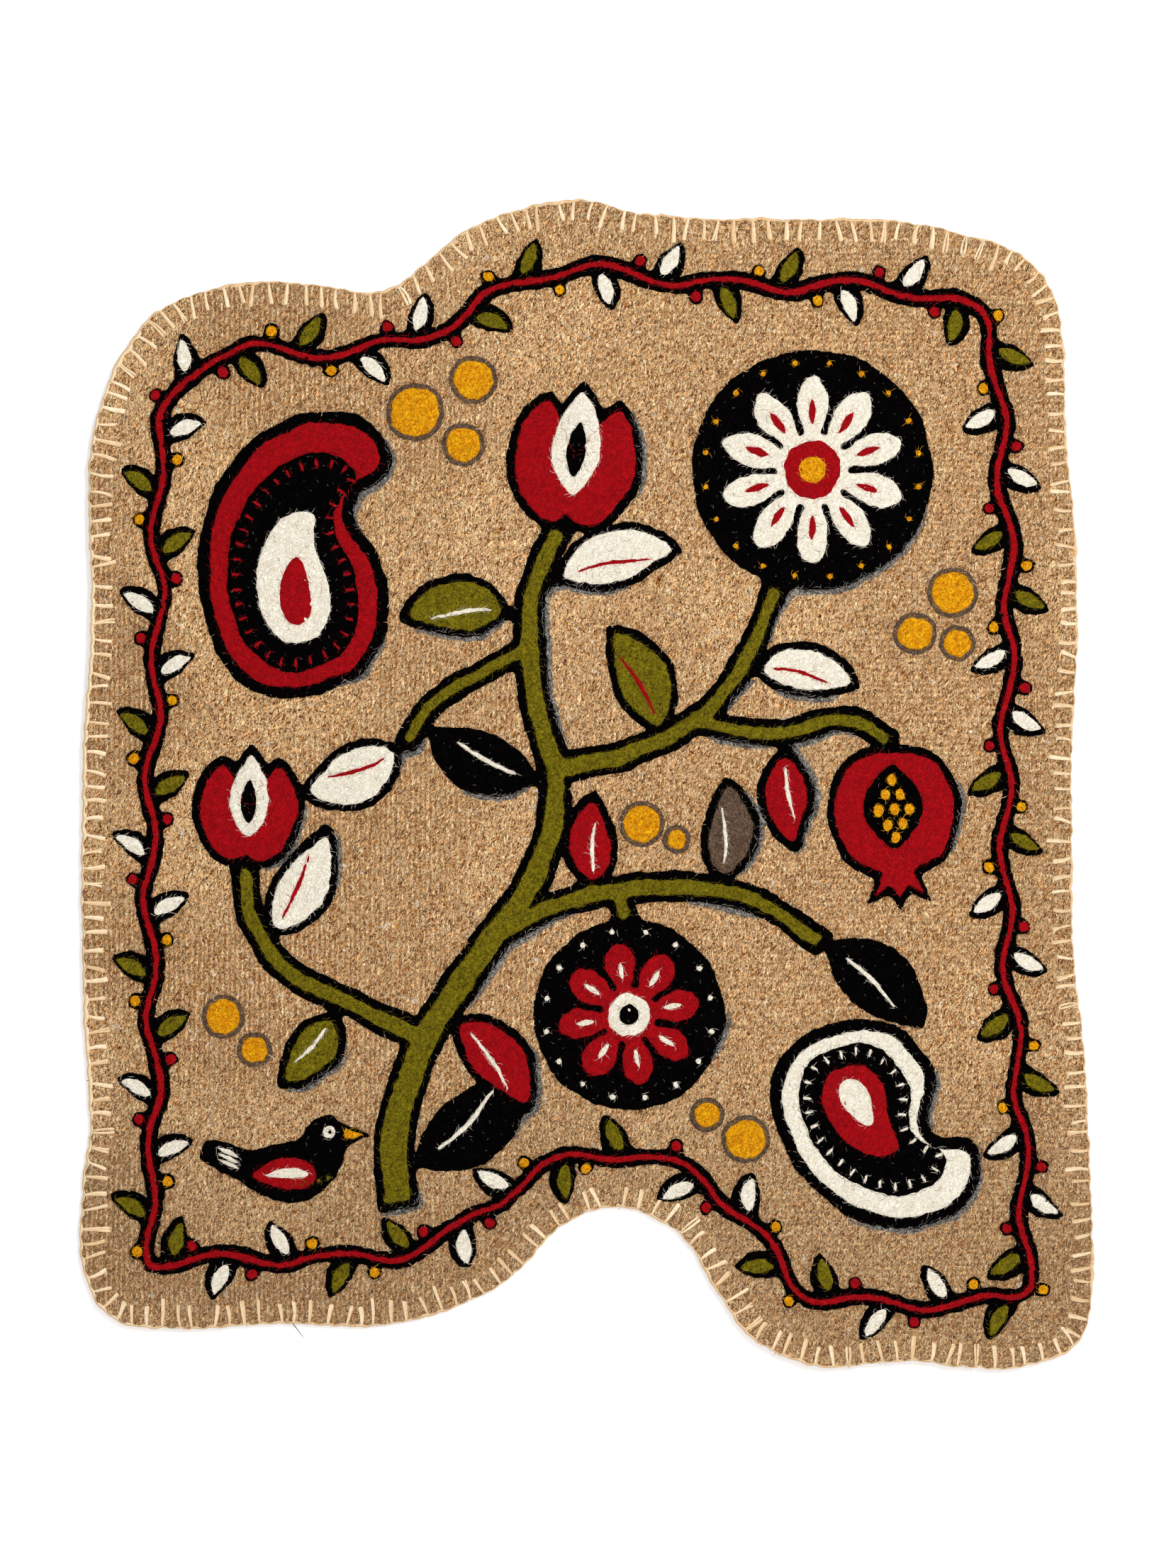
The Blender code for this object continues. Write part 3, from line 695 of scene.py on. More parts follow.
def tree_details():
    """Veins of leaves, seeds and marks of flowers, tongues of tulips."""
    details = []
    for leaf in LEAVES:
        bend = math.radians(leaf.bend)
        midrib = smooth_line([(math.sin(bend * t * 0.67) * leaf.length * t, leaf.length * t)
                              for t in (0.14, 0.42, 0.76)], 4)
        vein = turned(ribbon(midrib, [2.2, 4.0, 1.8]), 0, (0, LEAF_STALK - 2))
        details.append(Detail(leaf.vein, 2, turned(vein, leaf.angle, (leaf.x, leaf.z))))
    for flower in ROSETTES:
        place = (flower.x, flower.z)
        details.append(Detail(flower.heart, 3, disc(flower.radius * 0.15, place)))
        reach = (flower.radius + flower.disc) / 2
        for k in range(2 * flower.petals):
            bead = disc(3.0, (0, reach), 10)
            details.append(Detail(flower.bead, 1, turned(bead, 180 * (k + 0.5) / flower.petals, place)))
        for k in range(flower.petals):
            mark = turned(blade(flower.radius * 0.30, flower.radius * 0.09, belly=0.5), 0,
                          (0, flower.radius * 0.46))
            details.append(Detail(flower.mark, 2, turned(mark, flower.turn + 360 * k / flower.petals, place)))
    for tulip in TULIPS:
        tongue = turned(blade(tulip.size * 0.46, tulip.size * 0.16, belly=0.46), 0, (0, tulip.size * 0.36))
        details.append(Detail("black", 3, turned(tongue, tulip.angle, (tulip.x, tulip.z))))
    return details


def paisley_details():
    """A seed in the core of each paisley, and a fringe of short strokes inside its body."""
    details = []
    for paisley in PAISLEYS:
        def in_place(outline):
            return turned([(x * paisley.side, z) for x, z in outline], paisley.angle, (paisley.x, paisley.z))

        seed = turned(blade(paisley.length * 0.25, paisley.width * 0.20, 30, 0.38, 0.62), 0,
                      (0, paisley.length * 0.21))
        details.append(Detail(paisley.thread, 4, in_place(seed)))
        body = turned(blade(paisley.length * 0.82, paisley.width * 0.78, 130, 0.35, 0.57, 2.5, 18), 0,
                      (0, paisley.length * 0.055))
        fringe = even_line(grown(body, -7.0), 12, closed=True)
        _, clear = nearest(even_line(body, 1.5, closed=True))(fringe)
        for k, (x, z) in enumerate(fringe):
            if clear[k] < 6.4:
                continue
            nx, nz = across(fringe, k, closed=True)
            line = [(x + nx * reach, z + nz * reach) for reach in (4.2, 0, -4.2)]
            details.append(Detail(paisley.thread, 3, in_place(ribbon(line, [3.2, 2.4]))))
    return details


def fruit_and_bird_details():
    """Seeds in the pomegranate's window, and the bird's bars, eye, beak, tail and spots."""
    x, z, turn, radius = POMEGRANATE
    details = []
    for height, count in SEED_ROWS:
        for k in range(count):
            seed = disc(radius * 0.095, ((k - (count - 1) / 2) * radius * 0.26, height * radius), 12, 1.2)
            details.append(Detail("ochre", 3, turned(seed, turn, (x, z))))
    x, z, size = BIRD

    def lay(wool, layer, outline):
        details.append(Detail(wool, layer, [(px * size + x, pz * size + z) for px, pz in outline]))

    lay("white", 2, turned(blade(50, 12, -20, 0.4, 0.62), 82, (20, -2)))
    lay("white", 1, disc(8, (43, 46)))
    lay("black", 2, disc(3.2, (44, 46), 10))
    lay("ochre", 1, [(60, 51), (82, 42), (60, 37)])
    for k in range(3):
        lay("white", 1, turned(blade(30, 6), 66, (-58, 4 + 6.5 * k)))
    for k in range(5):
        lay("olive", 1, disc(3.4, (42 - 10 * k, -5 - 4.2 * k + 0.7 * k * k), 10))
    return details


def halo_details():
    """Brown wool round each ochre dot."""
    return [Detail("brown", 0, rounded(loop, 2.0)) for name in sorted(NODES) if "ochre_dot" in name
            for loop in node_loops(NODES[name])]


def small_pieces():
    """The small details, joined by wool: veins, seeds, berries, strokes and the like."""
    lots = {}
    details = vine_details() + tree_details() + paisley_details() + fruit_and_bird_details() + halo_details()
    for detail in details:
        loop = by_hand(anticlockwise(detail.outline), 1.45, 0.6)
        under = PLATEAUS[detail.layer - 1] if detail.layer else 0.0
        lots.setdefault(detail.wool, []).append(pillow([loop], under, SMALL_RISE, SMALL_SPACING,
                                                      SMALL_ROUNDING))
        OUTLINES.append((detail.wool, detail.layer, loop))
    made = []
    for wool, lot in lots.items():
        obj = add_mesh(f"small_details_{wool}", *joined(lot), MATERIALS[wool])
        made.append(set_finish(obj, wool))
    return made


# Grey strands follow black outlines of at least SHADED_POINTS points, INSIDE_VINE clear of the cut edge, in
# runs of at least LEAST_RUN points
SHADED_POINTS = 160
INSIDE_VINE = 78
LEAST_RUN = 11


def shadow_strands():
    """Grey wool laid along the lower right side of some black outlines, which makes them stand out."""
    lots = []
    patchy = lumps(31, 170, 1.0)
    for wool, layer, loop in [entry for entry in OUTLINES if entry[1] == 0 and entry[0] == "black"]:
        if len(loop) < SHADED_POINTS:
            continue
        line = even_line(loop, 3.0, closed=True)
        x, z = np.array(line).T
        inside = np.array([across(line, i, closed=True) for i in range(len(line))])
        facing = -inside[:, 0] * 0.75 + inside[:, 1] * 0.66
        wanted = (facing > 0.15) & (patchy(x, z) > -0.35) & (near_cut(line)[1] > INSIDE_VINE)
        runs = []
        for i, take in enumerate(wanted):
            if take and runs and runs[-1][-1] == i - 1:
                runs[-1].append(i)
            elif take:
                runs.append([i])
        for run in runs:
            if len(run) < LEAST_RUN:
                continue
            middle = [(line[i][0] - inside[i][0] * 0.9, line[i][1] - inside[i][1] * 0.9) for i in run]
            outline = by_hand(anticlockwise(ribbon(middle, [1.4, 4.8, 5.4, 4.8, 1.4])), 2.2, 0.9)
            lots.append(pillow([outline], 0.0, 0.55, 3.0, 2.0))
            OUTLINES.append(("grey", 0, outline))
    return add_mesh("shadow_strands_grey", *joined(lots), MATERIALS["grey"])


# Fibres

def fibre_mesh(name, lines, widths, tones, material):
    """Many tapered fibres as one mesh. lines has, for each fibre, its places from one tip to the other."""
    lines = np.asarray(lines)
    amount, count = lines.shape[:2]
    along = np.gradient(lines, axis=1)
    along /= np.linalg.norm(along, axis=2, keepdims=True) + 1e-9
    side = np.cross(along, (0.0, -1.0, 0.0))
    side /= np.linalg.norm(side, axis=2, keepdims=True) + 1e-9
    up = np.cross(side, along)
    thick = np.sin(np.linspace(0, math.pi, count)) ** 0.5
    middle = []
    for angle in (90, 210, 330):
        reach = np.asarray(widths)[:, None, None] / 2 * thick[None, :, None]
        cos, sin = math.cos(math.radians(angle)), math.sin(math.radians(angle))
        middle.append(lines + reach * (side * cos + up * sin))
    middle = np.stack(middle, axis=2)[:, 1:-1]
    rings = count - 2
    places = np.concatenate([lines[:, :1], middle.reshape(amount, rings * 3, 3), lines[:, -1:]], axis=1)
    each = rings * 3 + 2
    pattern = []
    for k in range(3):
        n = (k + 1) % 3
        pattern.append((0, 1 + n, 1 + k))
        for r in range(rings - 1):
            a, b = 1 + 3 * r, 4 + 3 * r
            pattern.extend([(a + k, a + n, b + n), (a + k, b + n, b + k)])
        last = 1 + 3 * (rings - 1)
        pattern.append((last + k, last + n, each - 1))
    faces = (np.arange(amount)[:, None, None] * each + np.array(pattern)[None]).reshape(-1, 3)
    data = bpy.data.meshes.new(name)
    data.vertices.add(amount * each)
    data.vertices.foreach_set("co", (places * MM).ravel())
    data.loops.add(len(faces) * 3)
    data.loops.foreach_set("vertex_index", faces.ravel())
    data.polygons.add(len(faces))
    data.polygons.foreach_set("loop_start", np.arange(len(faces)) * 3)
    data.polygons.foreach_set("use_smooth", np.ones(len(faces), dtype=bool))
    attribute = data.attributes.new("tone", "FLOAT", "POINT")
    attribute.data.foreach_set("value", np.repeat(tones, each).astype(np.float32))
    data.materials.append(material)
    data.update(calc_edges=True)
    obj = bpy.data.objects.new(name, data)
    bpy.context.scene.collection.objects.link(obj)
    return obj


class Surface:
    """What shows from the front at a place: how far out it stands and which wool it is."""

    def __init__(self, objects):
        places, faces, self.wools = [], [], []
        for obj, wool in objects:
            first = len(places)
            places.extend(v.co / MM for v in obj.data.vertices)
            for face in obj.data.polygons:
                faces.append([first + k for k in face.vertices])
                self.wools.append(wool)
        self.tree = BVHTree.FromPolygons(places, faces)

    def at(self, x, z):
        """How far along Y the surface lies at a place, and its wool."""
        place, _, face, _ = self.tree.ray_cast(Vector((x, FRONT, z)), Vector((0.0, 1.0, 0.0)))
        return (-2.0, None) if place is None else (place.y, self.wools[face])


def curly(draw, starts, headings, lengths, curl, kink, count=5):
    """Flat lines that wander from their starts: an arc with small kinks."""
    amount = len(starts)
    turn = draw.normal(0, curl, amount)[:, None] * np.linspace(-0.5, 0.5, count - 1)[None]
    turn = turn + np.cumsum(draw.normal(0, kink, (amount, count - 1)), axis=1)
    angle = headings[:, None] + turn
    step = (lengths / (count - 1))[:, None]
    x = np.cumsum(np.cos(angle) * step, axis=1)
    z = np.cumsum(np.sin(angle) * step, axis=1)
    flat = np.stack([np.concatenate([np.zeros((amount, 1)), x], axis=1),
                     np.concatenate([np.zeros((amount, 1)), z], axis=1)], axis=2)
    flat -= flat[:, count // 2:count // 2 + 1]
    return flat + np.asarray(starts)[:, None]


def laid(surface, flat, above):
    """Flat lines laid on the surface, their middles standing above it and their tips sunk in it."""
    amount, count = flat.shape[:2]
    rise = above * np.sin(np.linspace(0.12, math.pi - 0.12, count)) - 0.12
    lines = np.empty((amount, count, 3))
    lines[:, :, 0], lines[:, :, 2] = flat[:, :, 0], flat[:, :, 1]
    for i in range(amount):
        for k in range(count):
            lines[i, k, 1] = surface.at(*flat[i, k])[0] - rise[k]
    return lines


def fibres_over(surface, name, wool, spacing, length, width, seed, material, curl, count):
    """Loose fibres in every direction over one wool, or over the bare felt."""
    draw = np.random.default_rng(seed)
    starts = scattered((-400, -930), (402, 0), spacing, seed, 0.5)
    kept = [i for i, (x, z) in enumerate(starts) if surface.at(x, z)[1] == wool]
    starts = starts[kept]
    amount = len(starts)
    lengths = draw.uniform(*length, amount)
    flat = curly(draw, starts, draw.uniform(0, 2 * math.pi, amount), lengths, curl, 0.35, count)
    widths, tones = draw.uniform(*width, amount), draw.uniform(0, 1, amount)
    return fibre_mesh(name, laid(surface, flat, 0.4), widths, tones, material)


# Fuzz on the outlines of the wools: its lengths, its widths and how far it strays
FUZZ_LENGTH = (4, 9)
FUZZ_WIDTH = (0.24, 0.40)
FUZZ_SPREAD = 0.55


def fuzz_along(surface, wool, spacing, seed):
    """Fibres that stray over the outlines of one wool, most of them along the outline."""
    draw = np.random.default_rng(seed)
    starts, headings = [], []
    for own, _, loop in OUTLINES:
        if own != wool:
            continue
        line = even_line(loop, spacing, closed=True)
        for i, (x, z) in enumerate(line):
            nx, nz = across(line, i, closed=True)
            off = draw.normal(-0.2, FUZZ_SPREAD)
            starts.append((x - nx * off, z - nz * off))
            headings.append(math.atan2(-nx, nz) + draw.normal(0, 0.5))
    amount = len(starts)
    flat = curly(draw, np.array(starts), np.array(headings), draw.uniform(*FUZZ_LENGTH, amount), 0.9, 0.3, 4)
    widths, tones = draw.uniform(*FUZZ_WIDTH, amount), draw.uniform(0, 1, amount)
    return fibre_mesh(f"{wool}_fuzz", laid(surface, flat, 0.35), widths, tones, MATERIALS[f"{wool}_fibre"])


# Fibres that stray out of the cut edge, and dark hairs caught in it: x and z of the middle, heading, length
EDGE_FIBRES = 1300
STRAY_HAIRS = [(-229, -900, -46, 23.0), (-240, -891, -60, 8.0), (352, -52, 50, 8.0), (-396, -700, 190, 7.0),
               (60, -11, 100, 6.0)]
HAIR_WIDTH = 0.8


def edge_fuzz():
    """Fibres that stray out of the felt's cut edge."""
    draw = np.random.default_rng(SEED + 70)
    index = draw.integers(0, len(CUT_LINE), EDGE_FIBRES)
    lines = np.empty((EDGE_FIBRES, 5, 3))
    headings, lengths = draw.uniform(0, 2 * math.pi, EDGE_FIBRES), draw.uniform(3, 9, EDGE_FIBRES)
    bend = curly(draw, np.zeros((EDGE_FIBRES, 2)), headings, lengths, 1.8, 0.4)
    for n, i in enumerate(index):
        nx, nz = across(CUT_LINE, i, closed=True)
        x, z = CUT_LINE[i][0] + nx * draw.uniform(-1.5, 0.6), CUT_LINE[i][1] + nz * draw.uniform(-1.5, 0.6)
        lift = float(margin_lift(i / len(CUT_LINE), 0.0))
        lines[n, :, 0] = x + bend[n, :, 0]
        lines[n, :, 2] = z + bend[n, :, 1]
        lines[n, :, 1] = -(draw.uniform(1.0, 3.6) + lift) + np.linspace(-0.5, 0.5, 5) * draw.normal(0, 1.2)
    widths, tones = draw.uniform(0.2, 0.34, EDGE_FIBRES), draw.uniform(0, 1, EDGE_FIBRES)
    return fibre_mesh("felt_fibres_edge", lines, widths, tones, MATERIALS["felt_fibre"])


def stray_hairs():
    """A few dark hairs, caught in the felt, that stick out over its cut edge."""
    draw = np.random.default_rng(SEED + 71)
    x, z, headings, lengths = np.array(STRAY_HAIRS).T
    flat = curly(draw, np.column_stack([x, z]), np.radians(headings), lengths, 0.5, 0.12, 6)
    lines = np.empty((len(x), 6, 3))
    lines[:, :, 0], lines[:, :, 2] = flat[:, :, 0], flat[:, :, 1]
    lines[:, :, 1] = -5.4
    return fibre_mesh("stray_hairs", lines, np.full(len(x), HAIR_WIDTH), np.zeros(len(x)),
                      MATERIALS["brown_fibre"])


# The blanket stitch

def strand(centre, lateral, widths, thickness, sides):
    """A flat strand along a line in space: its places, its faces and how far across it each place is."""
    centre = np.asarray(centre, dtype=float)
    along = np.gradient(centre, axis=0)
    along /= np.linalg.norm(along, axis=1, keepdims=True)
    lateral = np.asarray(lateral, dtype=float)
    lateral = lateral - along * (lateral * along).sum(axis=1, keepdims=True)
    lateral /= np.linalg.norm(lateral, axis=1, keepdims=True)
    up = np.cross(along, lateral)
    angle = np.arange(sides) * 2 * math.pi / sides
    wide = np.asarray(widths)[:, None, None] / 2
    thick = np.asarray(thickness)[:, None, None] / 2
    rings = (centre[:, None] + lateral[:, None] * np.cos(angle)[None, :, None] * wide
             + up[:, None] * np.sin(angle)[None, :, None] * thick)
    tone = np.tile(0.5 + 0.5 * np.cos(angle), len(centre))
    faces = []
    for r in range(len(centre) - 1):
        for k in range(sides):
            n = (k + 1) % sides
            faces.append((r * sides + k, r * sides + n, (r + 1) * sides + n, (r + 1) * sides + k))
    return rings.reshape(-1, 3), faces, tone


def capped(places, faces, sides):
    """A strand with its two ends closed."""
    last = len(places) - sides
    return faces + [tuple(range(sides))[::-1], tuple(range(last, last + sides))]


def rim_height(depth, front):
    """How high the rim is at a depth inside the cut edge, on its face or on its back."""
    half = RIM[5:] if front else RIM[5::-1]
    return float(np.interp(depth, [d for d, _ in half], [h for _, h in half]))


def stitch_leg(draw, share, front):
    """One leg of the blanket stitch: over the rim and in to where it goes down through the felt."""
    count = len(CUT_LINE)
    i = int(round(share * count)) % count
    nx, nz = across(CUT_LINE, i, closed=True)
    lean = draw.normal(0, 0.13)
    ox, oz = (nx * math.cos(lean) - nz * math.sin(lean), nx * math.sin(lean) + nz * math.cos(lean))
    x, z = CUT_LINE[i]
    reach = STITCH_REACH * draw.uniform(0.86, 1.12) + (4.5 if draw.random() < 0.1 else 0)
    reach *= RIGHT_REACH if x > 330 else 1.0
    strands = 2 if draw.random() < 0.13 else 1
    made = []
    wide = draw.uniform(2.7, 4.1)
    for s in range(strands):
        aside = (s - 0.5) * 2 if strands == 2 else 0.0
        depths = [-0.3, 0.1, 1.2, 3.2, 6.5, 10.5, reach - 2.2, reach - 0.7, reach]
        sag = draw.normal(0, 0.35)
        line = []
        for n, depth in enumerate(depths):
            t = depth / reach
            off = aside * (0.5 + 0.8 * t) + sag * math.sin(math.pi * max(t, 0)) * 1.6
            px, pz = x - ox * depth - oz * off, z - oz * depth + ox * off
            lift = float(margin_lift(share, depth))
            if front:
                out = rim_height(max(depth, 0), True) + float(felt_lumps(px, pz)) + lift + 0.28
                out += 0.25 * math.sin(math.pi * min(max((depth - 2) / (reach - 2), 0), 1))
            else:
                out = rim_height(max(depth, 0), False) + lift - 0.1
            if n >= len(depths) - 2:
                out -= (0.5, 1.5)[n - len(depths) + 2] * (1 if front else -1)
            line.append((px, -out, pz))
        share_wide = [0.52, 0.56, 0.62, 0.72, 0.86, 1.0, 1.06, 1.0, 0.7]
        size = wide * (0.6 if strands == 2 else 1.0)
        side = (-oz if front else oz, 0.0, ox if front else -ox)
        sides = 8 if front else 6
        places, faces, tone = strand(line, [side] * len(line), [size * w for w in share_wide],
                                     [0.7] * len(line), sides)
        tone = np.clip(tone + draw.normal(0, 0.25), 0, 1)
        made.append((places, capped(places, faces, sides), tone))
    return made


def purl():
    """The yarn that lies along the cut edge, from one stitch to the next."""
    count = len(CUT_LINE)
    x, z = np.array(CUT_LINE).T
    share = np.arange(count) / count
    outward = np.array([across(CUT_LINE, i, closed=True) for i in range(count)])
    wave = np.cos(2 * math.pi * STITCHES * share)
    broad = 1.0 + 0.35 * lumps(41, 60, 1.0)(x, z) + 0.8 * (x < -340)
    broad = np.clip(broad, 0.7, 2.2)
    off = 0.15 - STITCH_PULL * wave * 0.8 - lumps(5, 26, 0.4)(x, z) * 0.9 + lumps(42, 9, 0.2)(x, z)
    out = 2.2 + 0.7 * wave + margin_lift(share, 0.0) + lumps(43, 12, 0.2)(x, z)
    centre = np.column_stack([x + outward[:, 0] * off, -out, z + outward[:, 1] * off])
    closed = np.vstack([centre, centre[:1]])
    lateral = np.column_stack([outward[:, 0], np.zeros(count), outward[:, 1]])
    sides = 8
    places, faces, tone = strand(closed, np.vstack([lateral, lateral[:1]]), np.append(broad, broad[0]) * 1.7,
                                 np.full(count + 1, 2.1), sides)
    places = places[:-sides]
    faces = [tuple(k % len(places) for k in face) for face in faces]
    tanned = 0.4 * np.repeat(x > -340, sides)
    return places, faces, np.clip(tone[:-sides] + tanned, 0, 1)


def blanket_stitch():
    """The whole edge stitch: its legs on the face and on the back, and the purl between them."""
    draw = np.random.default_rng(SEED + 50)
    made = []
    for label, front in (("front", True), ("back", False)):
        lots, tones = [], []
        for i in range(STITCHES):
            share = (i + draw.normal(0, 0.10)) / STITCHES
            for places, faces, tone in stitch_leg(draw, share, front):
                lots.append((places, faces))
                tones.append(tone)
        if front:
            places, faces, tone = purl()
            made.append(add_mesh("edge_purl", places, faces, MATERIALS["raffia"], tone=tone))
        made.append(add_mesh(f"blanket_stitches_{label}", *joined(lots), MATERIALS["raffia"],
                             tone=np.concatenate(tones)))
    return made


# Materials

def linear(text):
    """An sRGB hex colour as the linear values that a shader takes."""
    channels = [int(text[k:k + 2], 16) / 255 for k in (0, 2, 4)]
    return (*(c / 12.92 if c <= 0.04045 else ((c + 0.055) / 1.055) ** 2.4 for c in channels), 1.0)


def put(tree, kind, inputs, **settings):
    """Adds a shader node. An input is a number, a colour, a vector or another node's output."""
    made = tree.nodes.new(kind)
    for name, value in settings.items():
        setattr(made, name, value)
    for name, value in inputs.items():
        if isinstance(value, bpy.types.NodeSocket):
            tree.links.new(value, made.inputs[name])
        else:
            made.inputs[name].default_value = value
    return made


def new_material(name, roughness, specular=0.08):
    """A material of fibres: its tree, its Principled shader and its coordinates in millimetres."""
    material = bpy.data.materials.new(name)
    material.use_nodes = True
    tree = material.node_tree
    shader = tree.nodes["Principled BSDF"]
    shader.inputs["Roughness"].default_value = roughness
    shader.inputs["Metallic"].default_value = 0.0
    shader.inputs["IOR"].default_value = 1.54
    shader.inputs["Specular IOR Level"].default_value = specular
    place = put(tree, "ShaderNodeTexCoord", {}).outputs["Object"]
    size = put(tree, "ShaderNodeVectorMath", {0: place, 1: (1 / MM, 1 / MM, 1 / MM)}, operation="MULTIPLY")
    return material, tree, shader, size.outputs[0]


def grain(tree, place, pitch, angle, stretch, seed, detail, distortion):
    """Noise of one size in millimetres, drawn out along one angle as seen from the front."""
    turned_place = put(tree, "ShaderNodeMapping", {
        "Vector": place, "Rotation": (0.0, math.radians(-angle), 0.0),
        "Scale": (pitch * stretch, pitch, pitch)}, vector_type="TEXTURE")
    return put(tree, "ShaderNodeTexNoise", {"Vector": turned_place.outputs[0], "W": seed, "Scale": 1.0,
                                            "Detail": detail, "Roughness": 0.5, "Distortion": distortion},
               noise_dimensions="4D").outputs[0]


def hair_lines(tree, place, pitch, width, angle, stretch, seed):
    """Thin wavy lines like matted hairs, 1 on a hair and 0 off it."""
    noise = grain(tree, place, pitch, angle, stretch, seed, detail=1.5, distortion=0.6)
    off = put(tree, "ShaderNodeMath", {0: noise, 1: 0.5}, operation="SUBTRACT")
    size = put(tree, "ShaderNodeMath", {0: off.outputs[0]}, operation="ABSOLUTE")
    line = put(tree, "ShaderNodeMapRange", {"Value": size.outputs[0], "From Min": 0.0, "From Max": width,
                                            "To Min": 1.0, "To Max": 0.0}, interpolation_type="SMOOTHSTEP")
    return line.outputs[0]


def locks(tree, place, pitch, angle, stretch, low, high, seed):
    """Short locks of fleece, or the gaps between them: 0 where the noise is below low and 1 above high."""
    noise = grain(tree, place, pitch, angle, stretch, seed, detail=0.0, distortion=LOCK_CURL)
    return put(tree, "ShaderNodeMapRange", {"Value": noise, "From Min": low, "From Max": high},
               interpolation_type="SMOOTHSTEP").outputs[0]


def patches(tree, place, pitch, low, high, seed, detail=2.0):
    """Soft patches of about one size: 0 below low and 1 above high."""
    noise = put(tree, "ShaderNodeTexNoise",
                {"Vector": place, "W": seed, "Scale": 1 / pitch, "Detail": detail}, noise_dimensions="4D")
    spread = put(tree, "ShaderNodeMapRange", {"Value": noise.outputs[0], "From Min": low, "From Max": high})
    return spread.outputs[0]


def blend(tree, share, under, over, amount=1.0):
    """One colour over another where share is 1."""
    if amount != 1.0:
        share = put(tree, "ShaderNodeMath", {0: share, 1: amount}, operation="MULTIPLY").outputs[0]
    return put(tree, "ShaderNodeMixRGB", {"Fac": share, "Color1": under, "Color2": over}).outputs[0]


def add_relief(tree, shader, height, depth):
    """Bump from a height of 0 to 1, as deep as depth in millimetres."""
    bump = put(tree, "ShaderNodeBump", {"Height": height, "Distance": depth * MM, "Strength": 1.0})
    tree.links.new(bump.outputs[0], shader.inputs["Normal"])


def total(tree, *values):
    """The sum of some values."""
    sum_so_far = values[0]
    for value in values[1:]:
        sum_so_far = put(tree, "ShaderNodeMath", {0: sum_so_far, 1: value}, operation="ADD").outputs[0]
    return sum_so_far


# Gaps and locks of the felt's grain: pitch in mm, angle, stretch, low and high, colour, strength
FELT_GAPS = [(1.5, 52, 3.0, 0.49, 0.58, "4C240A", 1.0), (1.3, 75, 3.4, 0.51, 0.60, "60310E", 1.0)]
FELT_LOCKS = [(1.5, 48, 3.0, 0.49, 0.58, "F2B97C", 1.0), (1.3, 82, 3.4, 0.50, 0.60, "FFDCA7", 1.0)]
LOCK_CURL = 1.4
# Upright ribs fade out from the left side, and level ones fade in on the right. They are drawn only as
# painted shade, darker in their furrows: the axis across them, their pitch, from where to where in X they
# change, their share at both, and the strength of their painted shade
FELT_RIBS = [("X", 4.0, (-260, 120), (1.0, 0.2), 0.56), ("Z", 4.6, (-40, 240), (0.0, 0.9), 0.34)]


